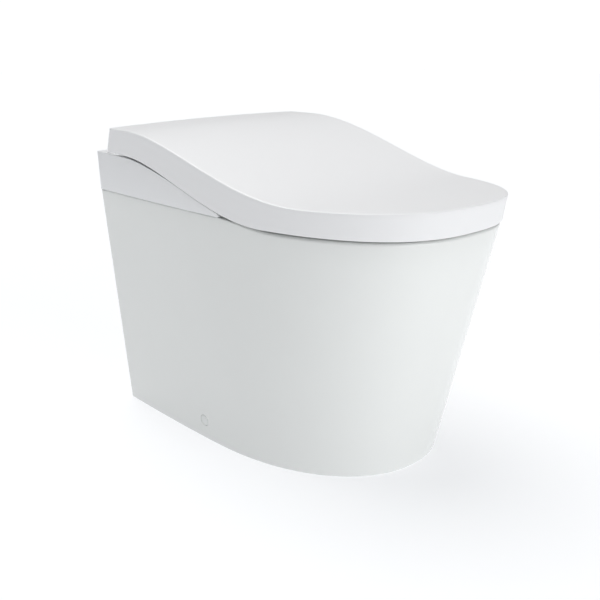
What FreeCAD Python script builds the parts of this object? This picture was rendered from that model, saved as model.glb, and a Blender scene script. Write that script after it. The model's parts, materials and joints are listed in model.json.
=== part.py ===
import FreeCAD, Part
import math
import os

from FreeCAD import Placement, Rotation, Vector

# A floor-standing toilet with a built-in washing unit and a heated seat, in millimetres.
# X runs across, the front is at -Y, the wall is at +Y, and Z = 0 is the floor.

# ---- overall sizes ----
LENGTH = 620.0
BACK_Y = LENGTH / 2
FRONT_Y = -LENGTH / 2

# ---- plan outline shared by the lid, the housing and the rim ----
WIDEST_Y = 40.0            # where the plan is widest
LID_HALF_WIDTH = 210.4     # at the widest place, on the lid's top edge
BACK_HALF_WIDTH = 194.5    # at the back, at the height of the housing's ledge
FRONT_POWER = 2.6          # superellipse power of the round front
SIDE_POWER = 1.5           # how the sides draw in towards the back
SIDE_LEAN = 0.08           # sideways lean of the wall, per height, at the widest place
FRONT_LEAN = 0.16          # the same at the front
BACK_LEAN = 0.05           # the same at the back
CORNER_RADIUS = 5.0

# ---- lid ----
LID_TOP_FRONT = 413.3
LID_TOP_BACK = 488.5
LID_CLIMB = (-157.0, 207.0)        # where its top edge starts and stops climbing
BAND_LOW_FRONT = 377.7
BAND_LOW_BACK = 448.7
BAND_CLIMB = (-92.0, 228.0)        # the same for the lower edge of its side band
LID_CROWN = 3.2
LID_WALL = 3.0
LID_BACK_TOP_Y = 256.5
LID_BACK_LOW_Y = 273.0
PANEL_GAP = 4.0                    # hollow between the lid's shell and its inner panel
PANEL_THICKNESS = 2.5
PANEL_FIT = 0.3

# ---- ceramic ----
RIM_BACK = 383.8
RIM_FRONT = 375.2
RIM_CLIMB = (-110.0, 0.0)          # where the rim steps up behind the lid's band
RIM_STEP_SIDE = 1.0                # how far the ceramic stands inside the housing
RIM_STEP_FRONT = 2.6
FOOT_WIDEST_Y = 33.0
FOOT_HALF_WIDTH = 169.9
FOOT_BACK_HALF_WIDTH = 152.8
FOOT_REACH = 249.7
FOOT_POWER = 2.22
SKIRT_WALL = 12.0
DECK_THICKNESS = 18.0
BAY_HALF_WIDTH = 128.0             # opening in the back of the skirt
BAY_TOP = 330.0

# ---- bowl: height, middle, half width, half length of each level of its inside ----
BOWL_LEVELS = (
    (RIM_BACK + 2.0, -106.0, 119.0, 153.0),
    (340.0, -106.0, 116.0, 149.0),
    (280.0, -104.0, 100.0, 132.0),
    (215.0, -92.0, 74.0, 103.0),
    (160.0, -74.0, 48.0, 70.0),
    (118.0, -62.0, 34.0, 46.0),
)
BOWL_WALL = 11.0
BOWL_POWER = 2.3
TRAP_RADIUS = 27.0
TRAP_WALL = 9.0
TRAP_START = (-62.0, 150.0)        # y, z on the trap's centre line
TRAP_CROWN = (75.0, 246.0)
OUTLET_Y = 175.0
TRAP_BEND = 48.0
HORN_RADIUS = 44.0
HORN_BORE = 36.0
HORN_HEIGHT = 42.0
HORN_LIFT = 6.0

# ---- well behind the bowl, which the wands and the dryer reach through ----
WELL_HALF_WIDTH = 112.0
WELL_BACK_Y = 128.0
WELL_FRONT_Y = 10.0
WELL_FLOOR = 336.0
WELL_WALL = 10.0

# ---- housing of the washing unit ----
LEDGE_Z = 447.0
SEAM_GAP = 0.3                     # between the ceramic's deck and the housing
BAND_GAP_BACK = 3.2                # shadow gap under the lid's band at the back
BAND_GAP_FRONT = 1.2               # and at the tip of the housing's cheeks
COVER_WALL = 3.0
COVER_FRONT_Y = 58.0
CHEEK_HALF_GAP = 147.0             # half the distance between the cheeks beside the seat
TOWER_HALF_WIDTH = 137.0           # raised middle of the housing
LID_CLEARANCE = 2.7                # between the raised middle and the lid
BARREL_RADIUS = 21.5               # round back of the raised middle, about the hinge
BASE_THICKNESS = 5.0
BASE_FIT = 0.3
BASE_TOP = RIM_BACK + SEAM_GAP + BASE_THICKNESS

# ---- hinge ----
HINGE_Y = 268.0
HINGE_Z = 453.7
PIN_RADIUS = 5.0
PIN_CLEARANCE = 0.06
BOSS_RADIUS = 10.5
BOSS_POCKET = 12.5                 # relief in the housing around the bosses
ARM_INNER = 139.5
ARM_WIDTH = 17.0
LUG_INNER = 159.0
LUG_WIDTH = 14.0
PIN_INNER = 96.0
PIN_END = 176.0
DAMPER_RADIUS = 12.0
DAMPER_LENGTH = 66.0

# ---- seat ----
SEAT_LIFT = 1.6                    # seat's underside above the lower edge of the lid's band
SEAT_TOP_FRONT = 401.3
SEAT_TOP_BACK = 467.3
SEAT_CLIMB = (-60.0, 232.0)
SEAT_SIDE_GAP = 3.0                # between the seat's edge and the lid's band
SEAT_PLATE = 5.0                   # thickness of the seat's lower shell
SEAT_SKIN = 3.0                    # plastic over the heater
SEAT_BACK_Y = 55.0
SEAT_HOLE = (-112.0, 103.0, 136.0) # middle, half width, half length of its opening
SEAT_HOLE_POWER = 2.2
SEAT_DISH = 4.0
HEATER_POCKET_MARGIN = 10.0
BUMPER_FIT = 0.3

# ---- washing wands, laid out along their own slope ----
WAND_ANGLE = 32.0
WAND_TIP = (60.0, 368.0)           # y, z of the wands' noses at rest
WAND_X = 16.0
WAND_RADIUS = 8.0
WAND_BORE = 3.0
WAND_LENGTH = 150.0
WAND_NOSE = 22.0
WAND_TRAVEL = 100.0
WAND_CLEARANCE = 0.08
GEAR_MODULE = 1.0
PRESSURE_ANGLE = 20.0
RACK_ADDENDUM = 0.65               # in modules: short, so that few pinion teeth need no undercut
PINION_ADDENDUM = 0.9
DEDENDUM = 1.25
PINION_TEETH = 12
PINION_WIDTH = 7.0
PINION_ALONG = 42.0                # from the wand's nose to the pinion
RACK_ROOT = 9.4
RACK_WIDTH = 5.0
TOOTH_PLAY = 0.16
CRADLE_HALF_WIDTH = 36.0
CRADLE_WALL = 3.0
MOTOR_RADIUS = 12.0
MOTOR_LENGTH = 17.0
MOTOR_SHAFT = 2.0
SHAFT_CLEARANCE = 0.06

# ---- dryer and deodoriser ----
DRYER_CENTRE = (96.0, 192.0)
SCROLL_RADIUS = 38.0
SCROLL_HEIGHT = 28.0
BLOWER_RADIUS = 29.0
BLOWER_HEIGHT = 20.0
BLOWER_BLADES = 18
THIN_WALL = 1.6
DUCT_WIDTH = 40.0
DUCT_HEIGHT = 20.0
FLAP_X = 74.0
FLAP_TOP = 379.0
FLAP_PIN_Y = COVER_FRONT_Y - 1.8
FLAP_PIN_Z = FLAP_TOP + 0.3
SMELL_FAN = (-76.0, 116.0, 406.3)
SMELL_FAN_RADIUS = 14.0

# ---- buttons on the side away from the camera ----
BUTTON_Y = (196.0, 226.0)
BUTTON_Z = 418.0
BUTTON_RADIUS = 9.0
BUTTON_TRAVEL = 2.0
BUTTON_GAP = 0.35

# ---- fixing ----
CAP_Y = 78.0
CAP_Z = 33.0
CAP_RADIUS = 9.0
CAP_DEPTH = 3.5
CAP_FIT = 0.15
SCREW_RADIUS = 3.0
BRACKET_HOLE = 4.5
BRACKET_HOLE_X = 112.0
SEAL_HEIGHT = 14.0
INLET_X = -112.0
INLET_Y = 284.0
INLET_THREAD_RADIUS = 10.48        # half-inch pipe thread
INLET_THREAD_LENGTH = 18.0
TANK_BACK_Y = INLET_Y - 28.0           # leaves room for the supply hose below the inlet
TANK_OUTLET = (-56.5, TANK_BACK_Y - 20.0, 60.0)
TANK_WALL = 3.0


# ======== general helpers ========

def box(low, high):
    """A box between two opposite corners."""
    size = [high[i] - low[i] for i in range(3)]
    return Part.makeBox(size[0], size[1], size[2], Vector(*low))


def rounded_box(low, high, radius):
    """A box with its upright edges rounded."""
    solid = box(low, high)
    upright = [e for e in solid.Edges
               if abs(e.tangentAt(e.FirstParameter).z) > 0.99]
    return solid.makeFillet(radius, upright)


def cylinder(start, direction, radius, length):
    """A round bar from a point along a direction."""
    return Part.makeCylinder(radius, length, Vector(*start), Vector(*direction))


def ring(start, direction, outer, inner, length):
    """A tube from a point along a direction."""
    return cylinder(start, direction, outer, length).cut(cylinder(start, direction, inner, length))


def mirrored(shape):
    """The same shape on the other side of the middle plane."""
    return shape.mirror(Vector(0, 0, 0), Vector(1, 0, 0))


def both_sides(shape):
    """A shape and its mirror image, as separate solids."""
    return Part.Compound([shape, mirrored(shape)])


def fused(shapes):
    """One solid from shapes that touch or overlap."""
    return shapes[0].multiFuse(shapes[1:]).removeSplitter()


def only_solid(shape):
    """The largest solid of a result, without its wrapper."""
    return max(shape.Solids, key=lambda s: s.Volume)


def spline(points, start=None, end=None):
    """A smooth curve through points, with its end directions where they are given."""
    curve = Part.BSplineCurve()
    if start is None:
        curve.interpolate(points)
    else:
        curve.interpolate(Points=points, InitialTangent=start, FinalTangent=end)
    return curve.toShape()


def line(a, b):
    return Part.LineSegment(a, b).toShape()


def smooth_step(value, start, end):
    """0 before start, 1 after end, with a level run-in and run-out."""
    t = min(1.0, max(0.0, (value - start) / (end - start)))
    return t * t * (3 - 2 * t)


def rounded_path(points, radius):
    """Straight runs joined by arcs that touch both runs."""
    points = [Vector(*p) for p in points]
    edges = []
    start = points[0]
    for before, corner, after in zip(points, points[1:], points[2:]):
        into = (corner - before).normalize()
        out = (after - corner).normalize()
        half_turn = into.getAngle(out) / 2
        back = radius * math.tan(half_turn)
        first = corner - into * back
        last = corner + out * back
        middle_way = (out - into).normalize()
        centre = corner + middle_way * (radius / math.cos(half_turn))
        middle = centre - middle_way * radius
        edges.append(line(start, first))
        edges.append(Part.Arc(first, middle, last).toShape())
        start = last
    edges.append(line(start, points[-1]))
    return Part.Wire(edges)


def tube(points, bend, outer, inner=0.0):
    """A pipe along a path with rounded corners."""
    path = rounded_path(points, bend)
    way = Vector(*points[1]) - Vector(*points[0])

    def rod(radius):
        loop = Part.Wire([Part.makeCircle(radius, Vector(*points[0]), way)])
        return path.makePipeShell([loop], True, False)

    return rod(outer).cut(rod(inner)) if inner else rod(outer)


# ======== plan outlines ========

def side_half(mid, back, y, back_y=BACK_Y):
    """Half width behind the widest place: it draws in by a power law."""
    share = (y - WIDEST_Y) / (back_y - WIDEST_Y)
    return mid - (mid - back) * share ** SIDE_POWER


def front_points(mid, reach, power, widest_y, z, steps=8):
    """Points of the round front, from the +X side over the tip to the -X side."""
    points = []
    for k in range(-steps, steps + 1):
        turn = k * math.pi / 2 / steps
        x = -math.copysign(mid * abs(math.sin(turn)) ** (2 / power), turn)
        y = widest_y - reach * math.cos(turn) ** (2 / power) if abs(k) < steps else widest_y
        points.append(Vector(x if k else 0.0, y, z))
    return points


def plan_wire(mid, back, reach, power, widest_y, z, back_y, draw_in=SIDE_POWER):
    """Closed plan: superellipse front, drawn-in sides and a straight back with small corners."""
    r = CORNER_RADIUS
    side_end = back_y - r

    def half(y):
        return mid - (mid - back) * ((y - widest_y) / (back_y - widest_y)) ** draw_in

    stations = [widest_y + (side_end - widest_y) * k / 4 for k in range(5)]
    right = [Vector(half(y), y, z) for y in stations]
    left = [Vector(-v.x, v.y, z) for v in right]
    slope = (right[-1] - right[-2]).normalize()
    slope_left = Vector(-slope.x, slope.y, 0)
    front = spline(front_points(mid, reach, power, widest_y, z), Vector(0, -1, 0), Vector(0, 1, 0))
    left_side = spline(left, Vector(0, 1, 0), slope_left)
    right_side = spline(right[::-1], slope * -1, Vector(0, -1, 0))
    corner_x = half(side_end) - r
    bulge = r * math.sqrt(0.5)
    left_corner = Part.Arc(left[-1], Vector(-corner_x - bulge, side_end + bulge, z),
                           Vector(-corner_x, back_y, z)).toShape()
    right_corner = Part.Arc(Vector(corner_x, back_y, z),
                            Vector(corner_x + bulge, side_end + bulge, z), right[-1]).toShape()
    back_line = line(Vector(-corner_x, back_y, z), Vector(corner_x, back_y, z))
    return Part.Wire([front, left_side, left_corner, back_line, right_corner, right_side])


def body_wire(z, inset=0.0, front_inset=None, back_inset=0.0):
    """Outline of the lid and the housing at a height: the walls lean, most at the front."""
    front_inset = inset if front_inset is None else front_inset
    side_top = height_at(LID_TOP, WIDEST_Y)
    mid = LID_HALF_WIDTH + SIDE_LEAN * (z - side_top) - inset
    reach = WIDEST_Y - FRONT_Y + FRONT_LEAN * (z - LID_TOP_FRONT - LID_CROWN) - front_inset
    back = BACK_HALF_WIDTH + BACK_LEAN * (z - LEDGE_Z) - inset
    return plan_wire(mid, back, reach, FRONT_POWER, WIDEST_Y, z, BACK_Y - back_inset)


def body_prism(low, high, inset=0.0, back_inset=0.0):
    """Leaning-walled block with the plan of the lid and the housing."""
    wires = [body_wire(z, inset, back_inset=back_inset) for z in (low, high)]
    return Part.makeLoft(wires, True, True)


def oval_wire(z, middle, half_width, half_length, power):
    """Closed superellipse, used for the bowl and the seat's opening."""
    steps = 16
    points = []
    for k in range(steps):
        turn = 2 * math.pi * k / steps
        c, s = math.cos(turn), math.sin(turn)
        x = half_width * math.copysign(abs(c) ** (2 / power), c)
        y = middle + half_length * math.copysign(abs(s) ** (2 / power), s)
        points.append(Vector(x, y, z))
    curve = Part.BSplineCurve()
    curve.interpolate(Points=points, PeriodicFlag=True)
    return Part.Wire([curve.toShape()])


def oval_block(low, high, middle, half_width, half_length, power):
    """Upright block with a superellipse plan."""
    wire = oval_wire(low, middle, half_width, half_length, power)
    return Part.Face(wire).extrude(Vector(0, 0, high - low))


# ======== side profiles ========

# Each profile is level in front, climbs as a smooth step and is level again at the back:
# height in front, height at the back, where the climb starts, where it ends.
LID_TOP = (LID_TOP_FRONT, LID_TOP_BACK, *LID_CLIMB)
LID_UNDER_DROP = LID_WALL + PANEL_GAP + PANEL_THICKNESS
BAND_LOW = (BAND_LOW_FRONT, BAND_LOW_BACK, *BAND_CLIMB)
CHEEK_TOP = (BAND_LOW_FRONT - BAND_GAP_FRONT, BAND_LOW_BACK - BAND_GAP_BACK, *BAND_CLIMB)
RIM_TOP = (RIM_FRONT, RIM_BACK, *RIM_CLIMB)
SEAT_LOW = (BAND_LOW_FRONT + SEAT_LIFT, BAND_LOW_BACK + SEAT_LIFT, *BAND_CLIMB)
SEAT_TOP = (SEAT_TOP_FRONT, SEAT_TOP_BACK, *SEAT_CLIMB)
WIDE = 240.0                       # half width of the blocks that other shapes are trimmed with
NEAR_Y = FRONT_Y - 25
FAR_Y = BACK_Y + 10


def height_at(profile, y):
    """Height of a profile at one place."""
    front, back, start, end = profile
    return front + (back - front) * smooth_step(y, start, end)


def climb_poles(profile):
    """Exact control points of a profile over Y, each with its share of the climb."""
    start, end = profile[2], profile[3]
    runs = ((NEAR_Y, start), (start, end), (end, FAR_Y))
    thirds = [(a + (b - a) / 3, b - (b - a) / 3) for a, b in runs]
    ys = [NEAR_Y, *thirds[0], *thirds[1], *thirds[2], FAR_Y]
    return list(zip(ys, (0, 0, 0, 0, 1, 1, 1, 1)))


def climb_knots(profile):
    return [NEAR_Y, profile[2], profile[3], FAR_Y]


def profile_edge(profile, x, shift=0.0):
    """The profile as a curve at one X."""
    front, back = profile[0], profile[1]
    poles = [Vector(x, y, front + (back - front) * share + shift) for y, share in climb_poles(profile)]
    curve = Part.BSplineCurve()
    curve.buildFromPolesMultsKnots(poles, [4, 2, 2, 4], climb_knots(profile), False, 3)
    return curve.toShape()


def under_profile(profile, floor, shift=0.0, half_width=WIDE):
    """Everything between a level and a profile; a level above it gives what lies over it."""
    top = profile_edge(profile, -half_width, shift)
    near, far = top.Vertexes[0].Point, top.Vertexes[1].Point
    low_near = Vector(-half_width, near.y, floor)
    low_far = Vector(-half_width, far.y, floor)
    wire = Part.Wire([top, line(far, low_far), line(low_far, low_near), line(low_near, near)])
    return Part.Face(wire).extrude(Vector(2 * half_width, 0, 0))


def bowed_block(profile, bow_front, bow_back, half_span, shift=0.0, drop=150.0):
    """Everything under a sheet that follows a profile and is bowed across X like a parabola."""
    front, back = profile[0], profile[1]
    edge = 1 - (WIDE / half_span) ** 2
    crest = 1 + (WIDE / half_span) ** 2
    grid = []
    for y, share in climb_poles(profile):
        level = front + (back - front) * share + shift
        bow = bow_front + (bow_back - bow_front) * share
        grid.append([Vector(-WIDE, y, level + bow * edge), Vector(0, y, level + bow * crest),
                     Vector(WIDE, y, level + bow * edge)])
    surface = Part.BSplineSurface()
    surface.buildFromPolesMultsKnots(grid, [4, 2, 2, 4], [3, 3], climb_knots(profile), [0.0, 1.0],
                                     False, False, 3, 2)
    return surface.toShape().extrude(Vector(0, 0, -drop))


def lid_block(shift=0.0):
    """Everything under the lid's crowned top, moved by a shift."""
    return bowed_block(LID_TOP, LID_CROWN, LID_CROWN, LID_HALF_WIDTH, shift)


def seat_block(shift=0.0):
    """Everything under the seat's dished top, moved by a shift."""
    return bowed_block(SEAT_TOP, -SEAT_DISH, 0.0, 200.0, shift)


# ======== ceramic ========

def skirt_wire(z, inset=0.0, back_inset=0.0):
    """Outline of the pedestal, from the foot at Z = 0 to the rim."""
    if z <= 0:
        return plan_wire(FOOT_HALF_WIDTH - inset, FOOT_BACK_HALF_WIDTH - inset, FOOT_REACH - inset,
                         FOOT_POWER, FOOT_WIDEST_Y, z, BACK_Y - back_inset)
    return body_wire(z, inset + RIM_STEP_SIDE, inset + RIM_STEP_FRONT, back_inset)


def skirt_block(inset=0.0):
    """Solid pedestal, drawn in by an inset all round."""
    return Part.makeLoft([skirt_wire(z, inset, inset) for z in (0.0, RIM_BACK)], True, True)


def bowl_inside(extra=0.0, low_extra=0.0):
    """Inside of the bowl, or its outside where extra is the wall."""
    wires = []
    for z, middle, half_width, half_length in BOWL_LEVELS:
        wires.append(oval_wire(z, middle, half_width + extra, half_length + extra, BOWL_POWER))
    body = Part.makeLoft(wires, True, False)
    if low_extra:
        z, middle, half_width, half_length = BOWL_LEVELS[-1]
        floor = oval_block(z - low_extra, z, middle, half_width + extra, half_length + extra, BOWL_POWER)
        body = body.fuse(floor)
    return body


def trap_path():
    """Centre line of the trapway: up over the weir and down to the floor."""
    return [(0, TRAP_START[0], TRAP_START[1]), (0, TRAP_CROWN[0], TRAP_CROWN[1]),
            (0, OUTLET_Y, TRAP_CROWN[1] - 8.0), (0, OUTLET_Y, HORN_LIFT)]


def ceramic_pedestal():
    """Pedestal in one casting: skirt, deck, bowl, trapway, outlet horn and the well for the wands."""
    room = under_profile(RIM_TOP, -10.0, -DECK_THICKNESS)
    skirt = skirt_block().cut(skirt_block(SKIRT_WALL).common(room))
    bay = box((-BAY_HALF_WIDTH, BACK_Y - SKIRT_WALL - 20, -1), (BAY_HALF_WIDTH, BACK_Y + 1, BAY_TOP))
    skirt = skirt.cut(bay)

    trap = tube(trap_path(), TRAP_BEND, TRAP_RADIUS + TRAP_WALL)
    horn = cylinder((0, OUTLET_Y, HORN_LIFT), (0, 0, 1), HORN_RADIUS, HORN_HEIGHT)
    well = rounded_box((-WELL_HALF_WIDTH - WELL_WALL, WELL_FRONT_Y, WELL_FLOOR - WELL_WALL),
                       (WELL_HALF_WIDTH + WELL_WALL, WELL_BACK_Y + WELL_WALL, RIM_BACK - 5), 14.0)
    bowl = bowl_inside(BOWL_WALL, BOWL_WALL)
    solid = skirt.multiFuse([bowl, trap, horn, well])

    roof = under_profile(RIM_TOP, RIM_BACK + 40)
    bore = tube(trap_path(), TRAP_BEND, TRAP_RADIUS)
    horn_bore = cylinder((0, OUTLET_Y, HORN_LIFT - 1), (0, 0, 1), HORN_BORE, HORN_HEIGHT - 6)
    well_room = rounded_box((-WELL_HALF_WIDTH, WELL_FRONT_Y - 30, WELL_FLOOR),
                            (WELL_HALF_WIDTH, WELL_BACK_Y, RIM_BACK + 5), 12.0)
    supply = cylinder((INLET_X, INLET_Y, RIM_BACK - DECK_THICKNESS - 1), (0, 0, 1), 15.0,
                      DECK_THICKNESS + 5)
    solid = solid.cut(bowl_inside()).cut(bore).cut(horn_bore).cut(well_room).cut(roof).cut(supply)
    solid = solid.cut(both_sides(screw_hole()))
    for sign in (-1, 1):
        solid = solid.cut(cylinder((sign * UNIT_BOLT_X, UNIT_BOLT_Y, RIM_BACK - 30), (0, 0, 1), 4.5, 40))
    return only_solid(solid)


def skirt_half_at(y, z):
    """Half width of the pedestal's outside near its foot."""
    foot = FOOT_HALF_WIDTH - (FOOT_HALF_WIDTH - FOOT_BACK_HALF_WIDTH) * (
        (y - FOOT_WIDEST_Y) / (BACK_Y - FOOT_WIDEST_Y)) ** SIDE_POWER
    mid = LID_HALF_WIDTH + SIDE_LEAN * (RIM_BACK - height_at(LID_TOP, WIDEST_Y)) - RIM_STEP_SIDE
    back = BACK_HALF_WIDTH + BACK_LEAN * (RIM_BACK - LEDGE_Z) - RIM_STEP_SIDE
    rim = side_half(mid, back, y)
    return foot + (rim - foot) * z / RIM_BACK


UNIT_BOLT_X = 150.0
UNIT_BOLT_Y = 110.0
CAP_X = -skirt_half_at(CAP_Y, CAP_Z)


def screw_hole():
    """Counterbored hole for the fixing screw, low in the skirt's side."""
    seat = cylinder((CAP_X - 5, CAP_Y, CAP_Z), (1, 0, 0), CAP_RADIUS + CAP_FIT, 5 + CAP_DEPTH)
    shank = cylinder((CAP_X - 5, CAP_Y, CAP_Z), (1, 0, 0), SCREW_RADIUS + 0.6, 40)
    return seat.fuse(shank)


def side_screw_caps():
    """Press-in caps over the fixing screws."""
    disc = cylinder((CAP_X - 3, CAP_Y, CAP_Z), (1, 0, 0), CAP_RADIUS, 3 + 1.2)
    return both_sides(only_solid(disc.common(skirt_block())))


def side_fixing_screws():
    """Screws through the skirt into the floor brackets."""
    head = cylinder((CAP_X + 1.6, CAP_Y, CAP_Z), (1, 0, 0), 5.5, CAP_DEPTH - 1.6)
    shank = cylinder((CAP_X + CAP_DEPTH - 0.2, CAP_Y, CAP_Z), (1, 0, 0), SCREW_RADIUS, 24)
    return both_sides(head.fuse(shank))


BRACKET_FACE_X = CAP_X + SKIRT_WALL + 7.0


def floor_brackets():
    """Angle brackets that the installer bolts to the floor; the skirt slips over them."""
    thickness = 5.0
    upright = box((BRACKET_FACE_X, CAP_Y - 22, 0), (BRACKET_FACE_X + thickness, CAP_Y + 22, CAP_Z + 14))
    flat = box((BRACKET_FACE_X, CAP_Y - 22, 0), (-BRACKET_HOLE_X + 12, CAP_Y + 22, thickness))
    rib = box((BRACKET_FACE_X, CAP_Y + 18, 0), (-BRACKET_HOLE_X - 8, CAP_Y + 22, CAP_Z - 6))
    body = fused([upright, flat, rib])
    body = body.cut(cylinder((-BRACKET_HOLE_X, CAP_Y, -1), (0, 0, 1), BRACKET_HOLE, thickness + 2))
    body = body.cut(cylinder((BRACKET_FACE_X - 1, CAP_Y, CAP_Z), (1, 0, 0), SCREW_RADIUS + 0.05,
                             thickness + 2))
    return both_sides(body)


def outlet_seal_ring():
    """Rubber ring around the outlet horn, pressed on the floor drain."""
    outer = HORN_RADIUS + 9.0
    body = ring((0, OUTLET_Y, 0), (0, 0, 1), outer, HORN_RADIUS + 0.3, SEAL_HEIGHT)
    lip = ring((0, OUTLET_Y, 0), (0, 0, 1), HORN_RADIUS + 0.3, HORN_BORE, HORN_LIFT - 0.3)
    return fused([body, lip])


# ======== lid ========

def lid_back_cut(inset=0.0):
    """Everything behind the lid's leaning back edge."""
    span = LID_TOP_BACK - BAND_LOW_BACK
    lean = (LID_BACK_LOW_Y - LID_BACK_TOP_Y) / span
    low_z, high_z = BAND_LOW_BACK - 60, LID_TOP_BACK + 60

    def edge_y(z):
        return LID_BACK_TOP_Y - inset + lean * (LID_TOP_BACK - z)

    points = [Vector(-WIDE, edge_y(low_z), low_z), Vector(-WIDE, edge_y(high_z), high_z),
              Vector(-WIDE, BACK_Y + 60, high_z), Vector(-WIDE, BACK_Y + 60, low_z)]
    return Part.Face(Part.makePolygon(points + points[:1])).extrude(Vector(2 * WIDE, 0, 0))


def lid_outer_shell():
    """One moulding: crowned S-shaped top with a side band all round but at the hinge."""
    low, high = BAND_LOW_FRONT - 10, LID_TOP_BACK + LID_CROWN + 15
    under_band = under_profile(BAND_LOW, BAND_LOW_FRONT - 60)
    outer = body_prism(low, high).common(lid_block()).cut(under_band).cut(lid_back_cut())
    inner = body_prism(low - 5, high, LID_WALL).common(lid_block(-LID_WALL))
    return only_solid(outer.cut(inner))


def lid_inner_panel():
    """Inner panel of the lid, with the two lugs that turn on the hinge pins."""
    low, high = BAND_LOW_FRONT - 10, LID_TOP_BACK + LID_CROWN + 15
    block = body_prism(low, high, LID_WALL + PANEL_FIT)
    top = -LID_WALL - PANEL_GAP
    panel = block.common(lid_block(top)).cut(lid_block(top - PANEL_THICKNESS))
    panel = panel.cut(lid_back_cut(3.0))
    hanger = lid_lug().common(lid_block(top - 0.5))
    return only_solid(panel.fuse([hanger, mirrored(hanger)] + lid_spacers()))


def lid_spacers():
    """Posts that hold the panel against the lid's shell."""
    posts = []
    for x, y in ((-120, 150), (120, 150), (-120, -40), (120, -40), (-60, -215), (60, -215)):
        post = cylinder((x, y, 380), (0, 0, 1), 6.0, 130)
        upper = lid_block(-LID_WALL - PANEL_FIT)
        lower = lid_block(-LID_WALL - PANEL_GAP - 1.0)
        posts.append(only_solid(post.common(upper).cut(lower)))
    return posts


def lid_lug():
    """Plate from the lid's panel down to its hinge boss, at -X."""
    x0 = -LUG_INNER - LUG_WIDTH
    boss = cylinder((x0, HINGE_Y, HINGE_Z), (1, 0, 0), BOSS_RADIUS, LUG_WIDTH)
    web = [(HINGE_Y - 2, HINGE_Z + BOSS_RADIUS - 0.4), (HINGE_Y - BOSS_RADIUS + 0.6, HINGE_Z - 2),
           (HINGE_Y - 62, LID_TOP_BACK - LID_UNDER_DROP - 2), (HINGE_Y - 62, LID_TOP_BACK),
           (HINGE_Y - 17, LID_TOP_BACK)]
    points = [Vector(x0, y, z) for y, z in web]
    plate = Part.Face(Part.makePolygon(points + points[:1])).extrude(Vector(LUG_WIDTH, 0, 0))
    bore = cylinder((x0 - 1, HINGE_Y, HINGE_Z), (1, 0, 0), PIN_RADIUS + PIN_CLEARANCE, LUG_WIDTH + 2)
    return plate.fuse(boss).cut(bore)


LID_BUMPER_SPOTS = ((-152.0, -120.0), (-110.0, -232.0))


def lid_bumpers():
    """Soft pads under the lid that rest on the seat."""
    pads = []
    for x, y in LID_BUMPER_SPOTS:
        pad = cylinder((x, y, 360), (0, 0, 1), 8.0, 100)
        pad = only_solid(pad.common(lid_block(-LID_UNDER_DROP)).cut(seat_block(BUMPER_FIT)))
        pads += [pad, mirrored(pad)]
    return Part.Compound(pads)


# ======== seat ========

def seat_plan(inset=0.0, hole_extra=0.0):
    """Upright block with the seat ring's plan."""
    edge = LID_WALL + SEAT_SIDE_GAP + inset
    low, high = BAND_LOW_FRONT - 20, SEAT_TOP_BACK
    block = body_prism(low, high, edge)
    block = block.common(box((-WIDE, FRONT_Y - 20, low - 1), (WIDE, SEAT_BACK_Y - inset, high + 1)))
    middle, half_width, half_length = SEAT_HOLE
    hole = oval_block(low - 1, high + 1, middle, half_width + hole_extra, half_length + hole_extra,
                      SEAT_HOLE_POWER)
    return block.cut(hole)


def seat_slab(top_shift, low_shift):
    """Space between the seat's two curves."""
    return seat_block(top_shift).cut(under_profile(SEAT_LOW, BAND_LOW_FRONT - 160, low_shift))


def seat_arm():
    """Arm from the ring back to the hinge, at -X."""
    x0 = -ARM_INNER - ARM_WIDTH
    bar = box((x0, SEAT_BACK_Y - 30, BAND_LOW_FRONT), (x0 + ARM_WIDTH, HINGE_Y - 4, LID_TOP_BACK))
    bar = only_solid(bar.common(seat_slab(0.0, 0.0)))
    boss = cylinder((x0, HINGE_Y, HINGE_Z), (1, 0, 0), BOSS_RADIUS, ARM_WIDTH)
    bore = cylinder((x0 - 1, HINGE_Y, HINGE_Z), (1, 0, 0), PIN_RADIUS + PIN_CLEARANCE, ARM_WIDTH + 2)
    return bar.fuse(boss).cut(bore)


def seat_top_shell():
    """Upper moulding of the seat with its arms; a pocket underneath holds the heater."""
    ring_body = seat_plan().common(seat_slab(0.0, SEAT_PLATE))
    pocket = seat_plan(HEATER_POCKET_MARGIN, HEATER_POCKET_MARGIN).common(
        seat_slab(-SEAT_SKIN, -5.0))
    body = ring_body.cut(pocket)
    arm = seat_arm().cut(seat_bottom_block(0.05))
    return only_solid(body.fuse([arm, mirrored(arm)]))


def seat_bottom_block(margin=0.0):
    """Lower shell of the seat: a plate with the ring's plan, grown by a margin where it is cut away."""
    low = BAND_LOW_FRONT - 60
    plate = under_profile(SEAT_LOW, low, SEAT_PLATE - 0.05 + margin).cut(
        under_profile(SEAT_LOW, low, -20.0 * margin))
    return seat_plan(-margin).common(plate)


def seat_bottom_shell():
    """Lower moulding of the seat."""
    return only_solid(seat_bottom_block())


HEATER_LOOPS = (16.0, 32.0, 48.0)      # distance of each loop from the seat's opening
HEATER_STRIP = 4.0


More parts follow.
